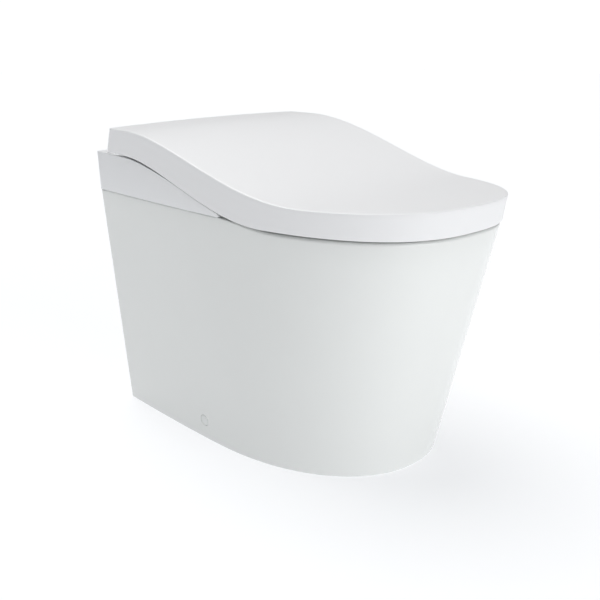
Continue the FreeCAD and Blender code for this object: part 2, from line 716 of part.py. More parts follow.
def seat_heater():
    """Heating cord in three loops around the ring, just under the seat's skin."""
    middle, half_width, half_length = SEAT_HOLE
    low, high = BAND_LOW_FRONT, SEAT_TOP_BACK
    loops = []
    for away in HEATER_LOOPS:
        along = away * 0.7
        outer = oval_block(low, high, middle, half_width + away + HEATER_STRIP,
                           half_length + along + HEATER_STRIP, SEAT_HOLE_POWER)
        inner = oval_block(low, high, middle, half_width + away, half_length + along, SEAT_HOLE_POWER)
        loops.append(outer.cut(inner))
    turn = HEATER_LOOPS[-1] - HEATER_LOOPS[0] + HEATER_STRIP
    for side in (-1, 1):
        x0 = side * (half_width + HEATER_LOOPS[0] + 1)
        loops.append(box((min(x0, x0 + side * turn), middle - 4, low),
                         (max(x0, x0 + side * turn), middle + 4, high)))
    front = box((-WIDE, NEAR_Y, low - 1), (WIDE, 6.0, high + 1))
    slab = seat_block(-SEAT_SKIN - 0.2).cut(seat_block(-SEAT_SKIN - 2.2))
    return only_solid(fused(loops).common(front).common(slab))


def seat_thermostat():
    """Temperature sensor in the seat's pocket."""
    z = SEAT_LOW[0] + SEAT_PLATE + 0.3
    return box((-14, -283, z), (14, -271, z + 5.0))


SEAT_BUMPER_SPOTS = ((-160.0, -125.0), (-108.0, -238.0))


def seat_bumpers():
    """Soft pads under the seat that rest on the rim."""
    pads = []
    for x, y in SEAT_BUMPER_SPOTS:
        foot = height_at(RIM_TOP, y + 13) + BUMPER_FIT
        pad = rounded_box((x - 7, y - 13, foot), (x + 7, y + 13, 400), 5.0)
        pad = only_solid(pad.common(under_profile(SEAT_LOW, BAND_LOW_FRONT - 60)))
        pads += [pad, mirrored(pad)]
    return Part.Compound(pads)


# ======== housing of the washing unit ========

def tower_profile(offset):
    """Side view of the housing's raised middle; offset draws it in for its inside."""
    r = BARREL_RADIUS - offset
    front = COVER_FRONT_Y + offset
    lean_end = math.radians(-18.0)
    start_angle = math.radians(98.0)
    arc_start = Vector(0, HINGE_Y + r * math.cos(start_angle), HINGE_Z + r * math.sin(start_angle))
    arc_mid_angle = (start_angle + lean_end) / 2
    arc_mid = Vector(0, HINGE_Y + r * math.cos(arc_mid_angle), HINGE_Z + r * math.sin(arc_mid_angle))
    arc_end = Vector(0, HINGE_Y + r * math.cos(lean_end), HINGE_Z + r * math.sin(lean_end))
    drop = LID_CLEARANCE + offset
    stations = [front + 14, 95.0, 130.0, 165.0, 205.0]
    curve = [Vector(0, y, height_at(LID_TOP, y) - LID_UNDER_DROP - drop) for y in stations]
    curve.append(arc_start)
    nose = Vector(0, front, curve[0].z - 14)
    nose_mid = Vector(0, front + 4.1, curve[0].z - 4.1)
    floor = RIM_BACK + SEAM_GAP - (5.0 if offset else 0.0)
    low_back = Vector(0, arc_end.y, floor)
    low_front = Vector(0, front, floor)
    edges = [line(low_front, nose), Part.Arc(nose, nose_mid, curve[0]).toShape(), spline(curve),
             Part.Arc(arc_start, arc_mid, arc_end).toShape(), line(arc_end, low_back),
             line(low_back, low_front)]
    return Part.Face(Part.Wire(edges))


def tower(offset):
    """The housing's raised middle, between the seat's arms."""
    half = TOWER_HALF_WIDTH - offset
    face = tower_profile(offset)
    face.translate(Vector(-half, 0, 0))
    return face.extrude(Vector(2 * half, 0, 0))


def cheeks(inset, drop, floor):
    """Low part of the housing: its outside follows the lid's band and ends in two cheeks."""
    block = body_prism(floor, LEDGE_Z + 8, inset, inset)
    profile = under_profile(CHEEK_TOP, floor - 30, -drop)
    ledge = box((-WIDE, LID_BACK_LOW_Y + 3.0, floor - 30), (WIDE, BACK_Y + 30, LEDGE_Z - drop))
    low = block.common(profile)
    front = box((-WIDE, LID_BACK_LOW_Y + 3.0, floor - 30), (WIDE, BACK_Y + 30, LEDGE_Z + 30))
    low = low.cut(front).fuse(block.common(ledge))
    gap = box((-CHEEK_HALF_GAP - inset, FRONT_Y, floor - 40),
              (CHEEK_HALF_GAP + inset, COVER_FRONT_Y + inset, LEDGE_Z + 40))
    return low.cut(gap)


WAND_PORT = (27.0, 355.5, 382.5)       # half width, low and high edge
DRYER_PORT = (22.0, 356.5, 378.5)
APRON_HALF_WIDTH = 106.0
APRON_LOW = 345.0


def unit_cover():
    """Housing shell: raised middle, ledge, cheeks and an apron with the ports."""
    floor = RIM_BACK + SEAM_GAP
    outer = cheeks(0.0, 0.0, floor).fuse(tower(0.0))
    inner = cheeks(COVER_WALL, COVER_WALL, floor - 2).fuse(tower(COVER_WALL))
    shell = outer.cut(inner)
    apron = box((-APRON_HALF_WIDTH, COVER_FRONT_Y, APRON_LOW),
                (APRON_HALF_WIDTH, COVER_FRONT_Y + COVER_WALL, floor + 12))
    shell = shell.fuse(apron)
    half, low, high = WAND_PORT
    shell = shell.cut(box((-half, COVER_FRONT_Y - 5, low), (half, COVER_FRONT_Y + 10, high)))
    half, low, high = DRYER_PORT
    shell = shell.cut(box((FLAP_X - half, COVER_FRONT_Y - 5, low),
                          (FLAP_X + half, COVER_FRONT_Y + 10, high)))
    shell = shell.cut(grille_slots())
    pockets = cylinder((-ARM_INNER - ARM_WIDTH - LUG_WIDTH - 6, HINGE_Y, HINGE_Z), (1, 0, 0),
                       BOSS_POCKET, ARM_WIDTH + LUG_WIDTH + 8.5)
    shell = shell.cut(both_sides(pockets))
    liner = hinge_pocket_liner()
    shell = shell.fuse([liner, mirrored(liner)])
    pins = cylinder((-PIN_END - 20, HINGE_Y, HINGE_Z), (1, 0, 0), PIN_RADIUS + 0.02, 2 * PIN_END + 40)
    shell = shell.cut(pins)
    for y in BUTTON_Y:
        hole = cylinder((150, y, BUTTON_Z), (1, 0, 0), BUTTON_RADIUS + BUTTON_GAP, 80)
        shell = shell.cut(hole)
    shell = shell.cut(sensor_hole())
    shell = shell.cut(cylinder((GLAND_X, BACK_Y + 5, GLAND_Z), (0, -1, 0), GLAND_RADIUS + 0.1, 30))
    return only_solid(shell)


def grille_slots():
    """Row of upright slots in the apron: intake of the deodoriser."""
    slots = []
    for k in range(9):
        x = -98.0 + 6.0 * k
        slots.append(box((x, COVER_FRONT_Y - 5, 356), (x + 3.0, COVER_FRONT_Y + 10, 378)))
    return Part.Compound(slots)


def hinge_pocket_liner():
    """Thin trough under the hinge bosses that closes the housing there, at -X."""
    x0 = -ARM_INNER - ARM_WIDTH - LUG_WIDTH - 6
    length = ARM_WIDTH + LUG_WIDTH + 8.5
    trough = ring((x0, HINGE_Y, HINGE_Z), (1, 0, 0), BOSS_POCKET + 2.0, BOSS_POCKET, length)
    keep = box((x0, HINGE_Y - 30, HINGE_Z - 30), (x0 + length, HINGE_Y + 30, CHEEK_TOP[1] - 0.5))
    return trough.common(keep)


def unit_base_plate():
    """Flat base that carries the works and closes the housing from below."""
    low = RIM_BACK + SEAM_GAP
    edge = COVER_WALL + BASE_FIT
    plate = body_prism(low, low + BASE_THICKNESS, edge, edge)
    front_cut = COVER_FRONT_Y + COVER_WALL + BASE_FIT
    plate = plate.cut(box((-WIDE, FRONT_Y - 40, low - 10), (WIDE, front_cut, low + 30)))
    slot = box((-62, front_cut - 1, low - 10), (104, 126, low + 30))
    plate = plate.cut(slot)
    plate = plate.cut(box((-104, front_cut - 1, low - 10), (-46, 100, low + 30)))
    plate = plate.cut(cylinder((INLET_X, INLET_Y, low - 10), (0, 0, 1), 12.5, 40))
    for sign in (-1, 1):
        plate = plate.cut(cylinder((sign * UNIT_BOLT_X, UNIT_BOLT_Y, low - 10), (0, 0, 1), 3.1, 40))
    return only_solid(plate)


def unit_fixing_bolts():
    """Bolts that hold the unit's base on the ceramic's deck."""
    low = RIM_BACK - 30
    top = RIM_BACK + SEAM_GAP + BASE_THICKNESS
    shank = cylinder((-UNIT_BOLT_X, UNIT_BOLT_Y, low), (0, 0, 1), 3.0, top - low)
    head = cylinder((-UNIT_BOLT_X, UNIT_BOLT_Y, top), (0, 0, 1), 6.0, 4.0)
    nut = cylinder((-UNIT_BOLT_X, UNIT_BOLT_Y, low + 3), (0, 0, 1), 8.5, 8.9)
    return both_sides(fused([shank, head, nut]))


# ======== hinge parts ========

def hinge_pins():
    """Steel pins that carry the seat and the lid on both sides."""
    return both_sides(cylinder((-PIN_END, HINGE_Y, HINGE_Z), (1, 0, 0), PIN_RADIUS, PIN_END - PIN_INNER))


def hinge_drive(sign):
    """Soft-close gear motor inside the barrel, around the pin's inner end."""
    outer_end = TOWER_HALF_WIDTH - COVER_WALL - 0.3
    x0 = sign * outer_end
    body = cylinder((x0, HINGE_Y, HINGE_Z), (-sign, 0, 0), DAMPER_RADIUS, DAMPER_LENGTH)
    neck = cylinder((x0 - sign * DAMPER_LENGTH, HINGE_Y, HINGE_Z), (-sign, 0, 0), 8.0, 10.0)
    body = body.fuse(neck)
    flange = box((min(x0, x0 - sign * 5), HINGE_Y - 14, HINGE_Z - 30),
                 (max(x0, x0 - sign * 5), HINGE_Y + 8, HINGE_Z - 4))
    body = body.fuse(flange)
    socket = cylinder((x0 + sign, HINGE_Y, HINGE_Z), (-sign, 0, 0), PIN_RADIUS + PIN_CLEARANCE,
                      outer_end - PIN_INNER + 1)
    return only_solid(body.cut(socket))


# ======== wands ========

WAND_FRAME = Placement(Vector(0, WAND_TIP[0], WAND_TIP[1]), Rotation(Vector(1, 0, 0), WAND_ANGLE))


def on_slope(shape):
    """Moves a shape from the wands' own frame into place."""
    moved = shape.copy()
    moved.Placement = WAND_FRAME.multiply(moved.Placement)
    return moved


def rack_pitch_height():
    return RACK_ROOT + DEDENDUM * GEAR_MODULE


def pinion_height():
    return rack_pitch_height() + PINION_TEETH * GEAR_MODULE / 2


def rack(x):
    """Toothed strip on top of a wand: straight-flanked teeth, one pitch apart."""
    pitch = math.pi * GEAR_MODULE
    first = PINION_ALONG - 2 * pitch
    count = int((WAND_TRAVEL + 4 * pitch) / pitch)
    root, tip = RACK_ROOT, rack_pitch_height() + RACK_ADDENDUM * GEAR_MODULE
    slope = math.tan(math.radians(PRESSURE_ANGLE))
    half_root = pitch / 4 + DEDENDUM * GEAR_MODULE * slope - TOOTH_PLAY / 2
    half_tip = pitch / 4 - RACK_ADDENDUM * GEAR_MODULE * slope - TOOTH_PLAY / 2
    points = [Vector(0, first - pitch / 2, WAND_RADIUS - 1.5), Vector(0, first - pitch / 2, root)]
    for k in range(count):
        y = first + k * pitch
        points += [Vector(0, y - half_root, root), Vector(0, y - half_tip, tip),
                   Vector(0, y + half_tip, tip), Vector(0, y + half_root, root)]
    end = first + (count - 0.5) * pitch
    points += [Vector(0, end, root), Vector(0, end, WAND_RADIUS - 1.5)]
    face = Part.Face(Part.makePolygon(points + points[:1]))
    face.translate(Vector(x - RACK_WIDTH / 2, 0, 0))
    return face.extrude(Vector(RACK_WIDTH, 0, 0))


def wand_tube(x):
    """Sliding tube with its rack; the water runs through its bore."""
    body = ring((x, WAND_NOSE, 0), (0, 1, 0), WAND_RADIUS, WAND_BORE, WAND_LENGTH - WAND_NOSE)
    spigot = ring((x, WAND_LENGTH, 0), (0, 1, 0), 4.5, WAND_BORE, 8.0)
    teeth = rack(x).cut(cylinder((x, 0, 0), (0, 1, 0), WAND_BORE, WAND_LENGTH))
    return on_slope(fused([body, spigot, teeth]))


def wand_nose(x, holes):
    """Exchangeable tip with the spray holes on its top."""
    body = cylinder((x, 0, 0), (0, 1, 0), WAND_RADIUS, WAND_NOSE - 0.02)
    body = body.makeFillet(3.0, [body.Edges[i] for i in range(len(body.Edges))
                                 if body.Edges[i].CenterOfMass.y < 0.1
                                 and body.Edges[i].Closed])
    flat = box((x - 4.5, 3.0, WAND_RADIUS - 1.2), (x + 4.5, WAND_NOSE - 4, WAND_RADIUS + 2))
    body = body.cut(flat)
    for dx, dy in holes:
        body = body.cut(cylinder((x + dx, 10.0 + dy, 0), (0, 0, 1), 0.8, 12))
    return on_slope(only_solid(body))


def involute(angle):
    return math.tan(angle) - angle


def tooth_half_angle(radius):
    """Half the angle that a pinion tooth takes at a radius: an involute above the base circle."""
    pitch_r = PINION_TEETH * GEAR_MODULE / 2
    base_r = pitch_r * math.cos(math.radians(PRESSURE_ANGLE))
    opening = math.acos(min(1.0, base_r / radius))
    half = math.pi / (2 * PINION_TEETH) + involute(math.radians(PRESSURE_ANGLE)) - involute(opening)
    return half - TOOTH_PLAY / 2 / pitch_r


def pinion(x, outward):
    """Twelve-tooth pinion with its shaft, above a wand."""
    pitch_r = PINION_TEETH * GEAR_MODULE / 2
    root_r = pitch_r - DEDENDUM * GEAR_MODULE
    tip_r = pitch_r + PINION_ADDENDUM * GEAR_MODULE
    flank = [root_r, pitch_r * math.cos(math.radians(PRESSURE_ANGLE)), pitch_r,
             (pitch_r + tip_r) / 2, tip_r]
    step = 2 * math.pi / PINION_TEETH
    points = []
    for k in range(PINION_TEETH):
        middle = -math.pi / 2 + (k + 0.5) * step
        rising = [(r, middle - tooth_half_angle(r)) for r in flank]
        falling = [(r, middle + tooth_half_angle(r)) for r in reversed(flank)]
        for r, angle in rising + falling:
            points.append(Vector(0, PINION_ALONG + r * math.cos(angle),
                                 pinion_height() + r * math.sin(angle)))
    face = Part.Face(Part.makePolygon(points + points[:1]))
    face.translate(Vector(x - PINION_WIDTH / 2, 0, 0))
    wheel = face.extrude(Vector(PINION_WIDTH, 0, 0))
    length = CRADLE_HALF_WIDTH + 4.0 - WAND_X
    shaft = cylinder((x, PINION_ALONG, pinion_height()), (outward, 0, 0), MOTOR_SHAFT, length)
    return on_slope(fused([wheel, shaft]))


def wand_cradle():
    """Guide that both wands slide in, with upright cheeks that carry the two motors."""
    half = CRADLE_HALF_WIDTH
    floor = box((-half, 26, -12), (half, WAND_LENGTH + 2, -WAND_RADIUS - 0.3))
    sides = []
    for x0 in (-half, half - CRADLE_WALL):
        sides.append(box((x0, 26, -12), (x0 + CRADLE_WALL, WAND_LENGTH + 2, 4)))
        sides.append(box((x0, 28, 0), (x0 + CRADLE_WALL, 56, pinion_height() + 8)))
    guide = box((-half, 24, -12), (half, 34, WAND_RADIUS + 2.0))
    rib = box((-3, 30, -12), (3, WAND_LENGTH + 2, -2))
    body = fused([floor, guide, rib] + sides)
    for x in (-WAND_X, WAND_X):
        body = body.cut(cylinder((x, 20, 0), (0, 1, 0), WAND_RADIUS + WAND_CLEARANCE, WAND_LENGTH + 5))
        body = body.cut(box((x - RACK_WIDTH / 2 - 0.5, 20, 2), (x + RACK_WIDTH / 2 + 0.5, 40, 20)))
    bore = cylinder((-half - 1, PINION_ALONG, pinion_height()), (1, 0, 0),
                    MOTOR_SHAFT + SHAFT_CLEARANCE, 2 * half + 2)
    tray = on_slope(only_solid(body.cut(bore)))
    posts = []
    for x0 in (-half, half - 7):
        for y0, top in ((130.0, 402.0), (176.0, 431.0)):
            posts.append(box((x0, y0, BASE_TOP + 0.1), (x0 + 7, y0 + 8, top)))
    return fused([tray] + posts)


def wand_motor(sign):
    """Stepper motor flanged to the cradle's cheek."""
    x0 = sign * CRADLE_HALF_WIDTH
    body = cylinder((x0, PINION_ALONG, pinion_height()), (sign, 0, 0), MOTOR_RADIUS, MOTOR_LENGTH)
    ears = box((min(x0, x0 + sign * 1.2), PINION_ALONG - 16, pinion_height() - 3.5),
               (max(x0, x0 + sign * 1.2), PINION_ALONG + 16, pinion_height() + 3.5))
    plug = box((min(x0 + sign * 3, x0 + sign * 12), PINION_ALONG + 8, pinion_height() - 5),
               (max(x0 + sign * 3, x0 + sign * 12), PINION_ALONG + 17, pinion_height() + 5))
    body = fused([body, ears, plug])
    socket = cylinder((x0 - sign, PINION_ALONG, pinion_height()), (sign, 0, 0),
                      MOTOR_SHAFT + SHAFT_CLEARANCE, 6.0)
    return on_slope(body.cut(socket))


# ======== water side ========

def heater_tank():
    """Closed tank that keeps the washing water warm."""
    low = (-132.0, 152.0, BASE_TOP + 0.2)
    high = (-46.0, 246.0, 438.0)
    outer = rounded_box(low, high, 12.0)
    inner = rounded_box([v + 3 for v in low], [v - 3 for v in high], 9.0)
    body = outer.cut(inner)
    inlet = ring((-100, 246, 402), (0, 1, 0), 5.0, 3.0, 9)
    outlet = ring((-66, 246, 428), (0, 1, 0), 5.0, 3.0, 9)
    flange = box((-52, 160, BASE_TOP + 0.2), (-38, 180, BASE_TOP + 4))
    body = fused([body, flange])
    body = body.fuse([inlet, outlet])
    port = cylinder((-100, 240, 402), (0, 1, 0), 3.0, 20)
    port2 = cylinder((-66, 240, 428), (0, 1, 0), 3.0, 20)
    return only_solid(body.cut(port).cut(port2))


def water_heater_element():
    """Bent steel heater inside the tank."""
    path = [(-112, 155.2, 408), (-112, 228, 408), (-66, 228, 408), (-66, 155.2, 408)]
    return tube(path, 14.0, 4.0)


def water_inlet():
    """Brass inlet through the deck: half-inch thread below, elbow and outlet above."""
    low = RIM_BACK - DECK_THICKNESS - INLET_THREAD_LENGTH - 4
    thread = cylinder((INLET_X, INLET_Y, low), (0, 0, 1), INLET_THREAD_RADIUS, INLET_THREAD_LENGTH)
    stem = cylinder((INLET_X, INLET_Y, low + INLET_THREAD_LENGTH), (0, 0, 1), 11.5,
                    BASE_TOP - low - INLET_THREAD_LENGTH + 0.2)
    hexagon = Part.Face(Part.makePolygon([
        Vector(INLET_X + 14.5 * math.cos(math.pi / 3 * k), INLET_Y + 14.5 * math.sin(math.pi / 3 * k),
               BASE_TOP + 0.2) for k in range(7)])).extrude(Vector(0, 0, 7))
    top = cylinder((INLET_X, INLET_Y, BASE_TOP + 7), (0, 0, 1), 9.0, 15)
    side = cylinder((INLET_X, INLET_Y, BASE_TOP + 14.5), (-1, 0, 0), 7.0, 24)
    bore = cylinder((INLET_X, INLET_Y, low - 1), (0, 0, 1), 6.5, BASE_TOP - low + 16)
    cross = cylinder((INLET_X, INLET_Y, BASE_TOP + 14.5), (-1, 0, 0), 5.0, 30)
    return only_solid(fused([thread, stem, hexagon, top, side]).cut(bore).cut(cross))


def inlet_valve():
    """Solenoid valve with its coil."""
    x1 = INLET_X - 24.2
    block = rounded_box((x1 - 34, 268, BASE_TOP + 0.2), (x1, 300, BASE_TOP + 28), 4.0)
    coil = cylinder((x1 - 17, 284, BASE_TOP + 28), (0, 0, 1), 11.0, 14)
    spigot = cylinder((x1 - 17, 268, BASE_TOP + 14), (0, -1, 0), 5.0, 9)
    return fused([block, coil, spigot])


def inlet_filter():
    """Strainer cartridge screwed into the valve's side."""
    x1 = INLET_X - 24.2
    body = cylinder((x1 - 17, 236, BASE_TOP + 14), (0, 1, 0), 9.0, 22.5)
    ribs = []
    for k in range(6):
        turn = math.pi / 3 * k
        ribs.append(cylinder((x1 - 17 + 8.6 * math.cos(turn), 236, BASE_TOP + 14 + 8.6 * math.sin(turn)),
                             (0, 1, 0), 1.6, 14))
    return fused([body] + ribs)


def wash_pump():
    """Small pump that gives the spray its pulse."""
    body = cylinder((-112, 126, BASE_TOP + 0.2), (0, 0, 1), 15.0, 30)
    head = cylinder((-112, 126, BASE_TOP + 30.2), (0, 0, 1), 17.0, 10)
    foot = rounded_box((-130, 108, BASE_TOP + 0.2), (-94, 144, BASE_TOP + 3.2), 5.0)
    return fused([body, head, foot])


def diverter_valve():
    """Rotary valve that sends water to one wand or the other."""
    base = rounded_box((-22, 212, BASE_TOP + 0.2), (22, 246, BASE_TOP + 20), 5.0)
    spouts = [cylinder((x, 212.5, BASE_TOP + 13), (0, -1, 0), 4.0, 9) for x in (-WAND_X, WAND_X)]
    side = cylinder((-21.5, 229, BASE_TOP + 10), (-1, 0, 0), 4.0, 9)
    return fused([base, side] + spouts)


def diverter_motor():
    """Stepper that turns the diverter's rotor."""
    body = cylinder((0, 229, BASE_TOP + 20.2), (0, 0, 1), 12.0, 16)
    ears = rounded_box((-17, 225, BASE_TOP + 20.2), (17, 233, BASE_TOP + 22), 3.0)
    return fused([body, ears])


def water_hoses():
    """Fixed hoses: valve to tank, tank to diverter."""
    tank_in = tube([(-100, 255.3, 402), (-100, 268, 402), (-100, 268, 416)], 8.0, 4.0)
    tank_out = tube([(-66, 255.3, 428), (-66, 265, 428), (-38, 265, 428), (-38, 229, 428),
                     (-38, 229, BASE_TOP + 10), (-30.7, 229, BASE_TOP + 10)], 6.0, 4.0)
    return Part.Compound([tank_in, tank_out])


# ======== air side ========

def dryer_housing():
    """Scroll case of the dryer's blower, with its outlet stub."""
    cx, cy = DRYER_CENTRE
    low = BASE_TOP + 0.2
    drum = cylinder((cx, cy, low), (0, 0, 1), SCROLL_RADIUS, SCROLL_HEIGHT)
    throat = box((cx - SCROLL_RADIUS, cy - 52, low), (cx - SCROLL_RADIUS + DUCT_WIDTH, cy, low + SCROLL_HEIGHT))
    room = cylinder((cx, cy, low + THIN_WALL), (0, 0, 1), SCROLL_RADIUS - THIN_WALL,
                    SCROLL_HEIGHT - 2 * THIN_WALL)
    throat_room = box((cx - SCROLL_RADIUS + THIN_WALL, cy - 60, low + THIN_WALL),
                      (cx - SCROLL_RADIUS + DUCT_WIDTH - THIN_WALL, cy, low + SCROLL_HEIGHT - THIN_WALL))
    body = drum.fuse(throat).cut(room).cut(throat_room)
    inlet = cylinder((cx, cy, low + SCROLL_HEIGHT - 5), (0, 0, 1), 17.0, 10)
    body = body.cut(inlet)
    bearing = ring((cx, cy, low + THIN_WALL - 0.2), (0, 0, 1), 4.0, MOTOR_SHAFT + SHAFT_CLEARANCE, 2.4)
    body = body.fuse(bearing)
    bore = cylinder((cx, cy, low - 1), (0, 0, 1), MOTOR_SHAFT + SHAFT_CLEARANCE, 6)
    return only_solid(body.cut(bore))


def dryer_motor():
    """Motor on a spider above the blower's inlet."""
    cx, cy = DRYER_CENTRE
    low = BASE_TOP + 0.2 + SCROLL_HEIGHT
    can = cylinder((cx, cy, low + 6), (0, 0, 1), 14.0, 20)
    legs = []
    for k in range(3):
        turn = math.radians(90 + 120 * k)
        leg = box((10, -2.5, 0.05), (30, 2.5, 8.5))
        leg.rotate(Vector(0, 0, 0), Vector(0, 0, 1), math.degrees(turn))
        leg.translate(Vector(cx, cy, low))
        legs.append(leg)
    body = can.fuse(legs)
    body = body.cut(cylinder((cx, cy, low - 2), (0, 0, 1), 17.5, 6.0 + 2.0))
    shaft_hole = cylinder((cx, cy, low), (0, 0, 1), MOTOR_SHAFT + SHAFT_CLEARANCE, 16)
    return only_solid(body.cut(shaft_hole))


def blower_wheel():
    """Drum wheel of the dryer: back plate, upright blades, top ring and shaft."""
    cx, cy = DRYER_CENTRE
    low = BASE_TOP + 0.2 + THIN_WALL + 2.6
    plate = cylinder((cx, cy, low), (0, 0, 1), BLOWER_RADIUS, 1.4)
    rim = ring((cx, cy, low + BLOWER_HEIGHT - 1.4), (0, 0, 1), BLOWER_RADIUS, BLOWER_RADIUS - 6, 1.4)
    hub = cylinder((cx, cy, low), (0, 0, 1), 5.0, 9)
    blades = []
    for k in range(BLOWER_BLADES):
        blade = box((BLOWER_RADIUS - 6, -0.5, 0.5), (BLOWER_RADIUS - 0.4, 0.5, BLOWER_HEIGHT - 0.5))
        blade.rotate(Vector(BLOWER_RADIUS - 3, 0, 0), Vector(0, 0, 1), 28)
        blade.rotate(Vector(0, 0, 0), Vector(0, 0, 1), 360.0 / BLOWER_BLADES * k)
        blade.translate(Vector(cx, cy, low))
        blades.append(blade)
    shaft = cylinder((cx, cy, BASE_TOP + 0.4 + THIN_WALL), (0, 0, 1), MOTOR_SHAFT, SCROLL_HEIGHT + 14)
    return only_solid(fused([plate, rim, hub, shaft] + blades))


def duct_section(y, z, x, width, height, lean):
    """Rectangle of the dryer's duct, turned about X by its lean."""
    rect = [Vector(-width / 2, 0, -height / 2), Vector(width / 2, 0, -height / 2),
            Vector(width / 2, 0, height / 2), Vector(-width / 2, 0, height / 2)]
    wire = Part.makePolygon(rect + rect[:1])
    wire.Placement = Placement(Vector(x, y, z), Rotation(Vector(1, 0, 0), lean))
    return wire


def dryer_duct():
    """Duct from the blower down to the port beside the wands."""
    cx, cy = DRYER_CENTRE
    x0 = cx - SCROLL_RADIUS + DUCT_WIDTH / 2
    z0 = BASE_TOP + 0.2 + SCROLL_HEIGHT / 2
    y0 = cy - 52.3
    rows = [(y0, z0, x0, DUCT_WIDTH, SCROLL_HEIGHT, 0), (112.0, z0 - 1, x0, DUCT_WIDTH, 24.0, 12),
            (88.0, 385.0, 75.0, 39.0, DUCT_HEIGHT, 34), (COVER_FRONT_Y + COVER_WALL + 0.4, 367.5,
                                                        FLAP_X, 39.0, DUCT_HEIGHT, 0)]
    outer = Part.makeLoft([duct_section(*r) for r in rows], True, True)
    inner_rows = [(y, z, x, w - 2 * THIN_WALL, h - 2 * THIN_WALL, a) for y, z, x, w, h, a in rows]
    inner = Part.makeLoft([duct_section(*r) for r in inner_rows], True, True)
    return only_solid(outer.cut(inner))


def dryer_heater():
    """Heater plates in the straight part of the duct."""
    cx, cy = DRYER_CENTRE
    x0 = cx - SCROLL_RADIUS + DUCT_WIDTH / 2
    z0 = BASE_TOP + 0.2 + SCROLL_HEIGHT / 2
    plates = [box((x0 - 17.5, 118, z0 - 8 + 5 * k), (x0 + 17.5, 138, z0 - 7.2 + 5 * k)) for k in range(4)]
    side = [box((x0 + s * 17.5 - 0.8, 118, z0 - 9.5), (x0 + s * 17.5 + 0.1 + 0.5, 138, z0 + 9.5))
            for s in (-1, 1)]
    return only_solid(fused(plates + side))


def dryer_flap():
    """Flap over the dryer's port; the air lifts it and its weight closes it."""
    half = DRYER_PORT[0] - 0.6
    y0 = COVER_FRONT_Y - 2.6
    plate = box((FLAP_X - half, y0, DRYER_PORT[1] + 0.5), (FLAP_X + half, y0 + 1.6, FLAP_TOP))
    knuckle = cylinder((FLAP_X - half, FLAP_PIN_Y, FLAP_PIN_Z), (1, 0, 0), 1.5, 2 * half)
    bore = cylinder((FLAP_X - half - 1, FLAP_PIN_Y, FLAP_PIN_Z), (1, 0, 0), 0.85, 2 * half + 2)
    return fused([plate, knuckle]).cut(bore)


def flap_pin():
    """Wire pin of the flap, held in two small ears on the apron."""
    half = DRYER_PORT[0] - 0.6
    y0, z0 = FLAP_PIN_Y, FLAP_PIN_Z
    pin = cylinder((FLAP_X - half - 3.0, y0, z0), (1, 0, 0), 0.8, 2 * half + 6.0)
    ears = [box((FLAP_X + s * (half + 1.8) - 1.4, y0 - 1.8, z0 - 1.8),
                (FLAP_X + s * (half + 1.8) + 1.4, COVER_FRONT_Y - 0.02, z0 + 1.8)) for s in (-1, 1)]
    return only_solid(fused([pin] + ears))


def smell_fan_case():
    """Frame of the deodoriser's fan."""
    x, y, z = SMELL_FAN
    case = box((x - 17, y, z - 17), (x + 17, y + 12, z + 17))
    case = case.cut(cylinder((x, y - 1, z), (0, 1, 0), SMELL_FAN_RADIUS + 0.8, 14))
    arms = [box((x - 16, y + 10, z - 1.2), (x + 16, y + 12, z + 1.2)),
            box((x - 1.2, y + 10, z - 16), (x + 1.2, y + 12, z + 16))]
    hub = cylinder((x, y + 9.4, z), (0, 1, 0), 6.0, 2.6)
    case = fused([case, hub] + arms)
    return only_solid(case.cut(cylinder((x, y, z), (0, 1, 0), 1.0 + SHAFT_CLEARANCE, 20)))


def smell_fan_wheel():
    """Seven-blade axial wheel of the deodoriser."""
    x, y, z = SMELL_FAN
    hub = cylinder((x, y + 1, z), (0, 1, 0), 5.5, 8.0)
    shaft = cylinder((x, y + 5, z), (0, 1, 0), 1.0, 6.6)
    blades = []
    for k in range(7):
        blade = box((4.5, -0.5, -4.0), (SMELL_FAN_RADIUS, 0.5, 4.0))
        blade.rotate(Vector(8, 0, 0), Vector(1, 0, 0), 55)
        blade.rotate(Vector(0, 0, 0), Vector(0, 1, 0), 360.0 / 7 * k)
        blade.translate(Vector(x, y + 5, z))
        blades.append(blade)
    slab = box((x - 20, y + 1.0, z - 20), (x + 20, y + 9.0, z + 20))
    wheel = fused([hub] + blades).common(slab)
    return only_solid(wheel.fuse(shaft))


def smell_filter():
    """Honeycomb carbon block in front of the fan."""
    x, y, z = SMELL_FAN
    block = box((x - 17, y - 16, z - 17), (x + 17, y - 0.3, z + 17))
    holes = []
    for i in range(5):
        for j in range(5):
            holes.append(box((x - 14.5 + 6 * i, y - 17, z - 14.5 + 6 * j),
                             (x - 9.9 + 6 * i, y, z - 9.9 + 6 * j)))
    return block.cut(Part.Compound(holes))


# ======== electric parts ========

GLAND_X = 150.0
GLAND_Z = 405.0
GLAND_RADIUS = 8.0


def control_board():
    """Circuit board with its larger components."""
    board = box((38, 240, BASE_TOP + 4), (134, 241.6, 436))
    parts = [box((46, 236, 396), (60, 240.05, 410)), box((66, 234, 398), (74, 240.05, 414)),
             box((84, 236.5, 400), (104, 240.05, 420)), box((46, 233, 418), (70, 240.05, 428)),
             cylinder((116, 240.05, 404), (0, -1, 0), 5.0, 9), cylinder((126, 240.05, 422), (0, -1, 0), 4.0, 7)]
    feet = [box((x, 238.8, BASE_TOP + 0.2), (x + 6, 243.0, BASE_TOP + 8)) for x in (44, 118)]
    return fused([board] + parts + feet)


def power_supply():
    """Closed power supply box."""
    body = rounded_box((135.5, 128, BASE_TOP + 0.2), (176.5, 228, 417), 3.0)
    fins = [box((140, 136 + 12 * k, 417), (172, 140 + 12 * k, 419.5)) for k in range(7)]
    return fused([body] + fins)


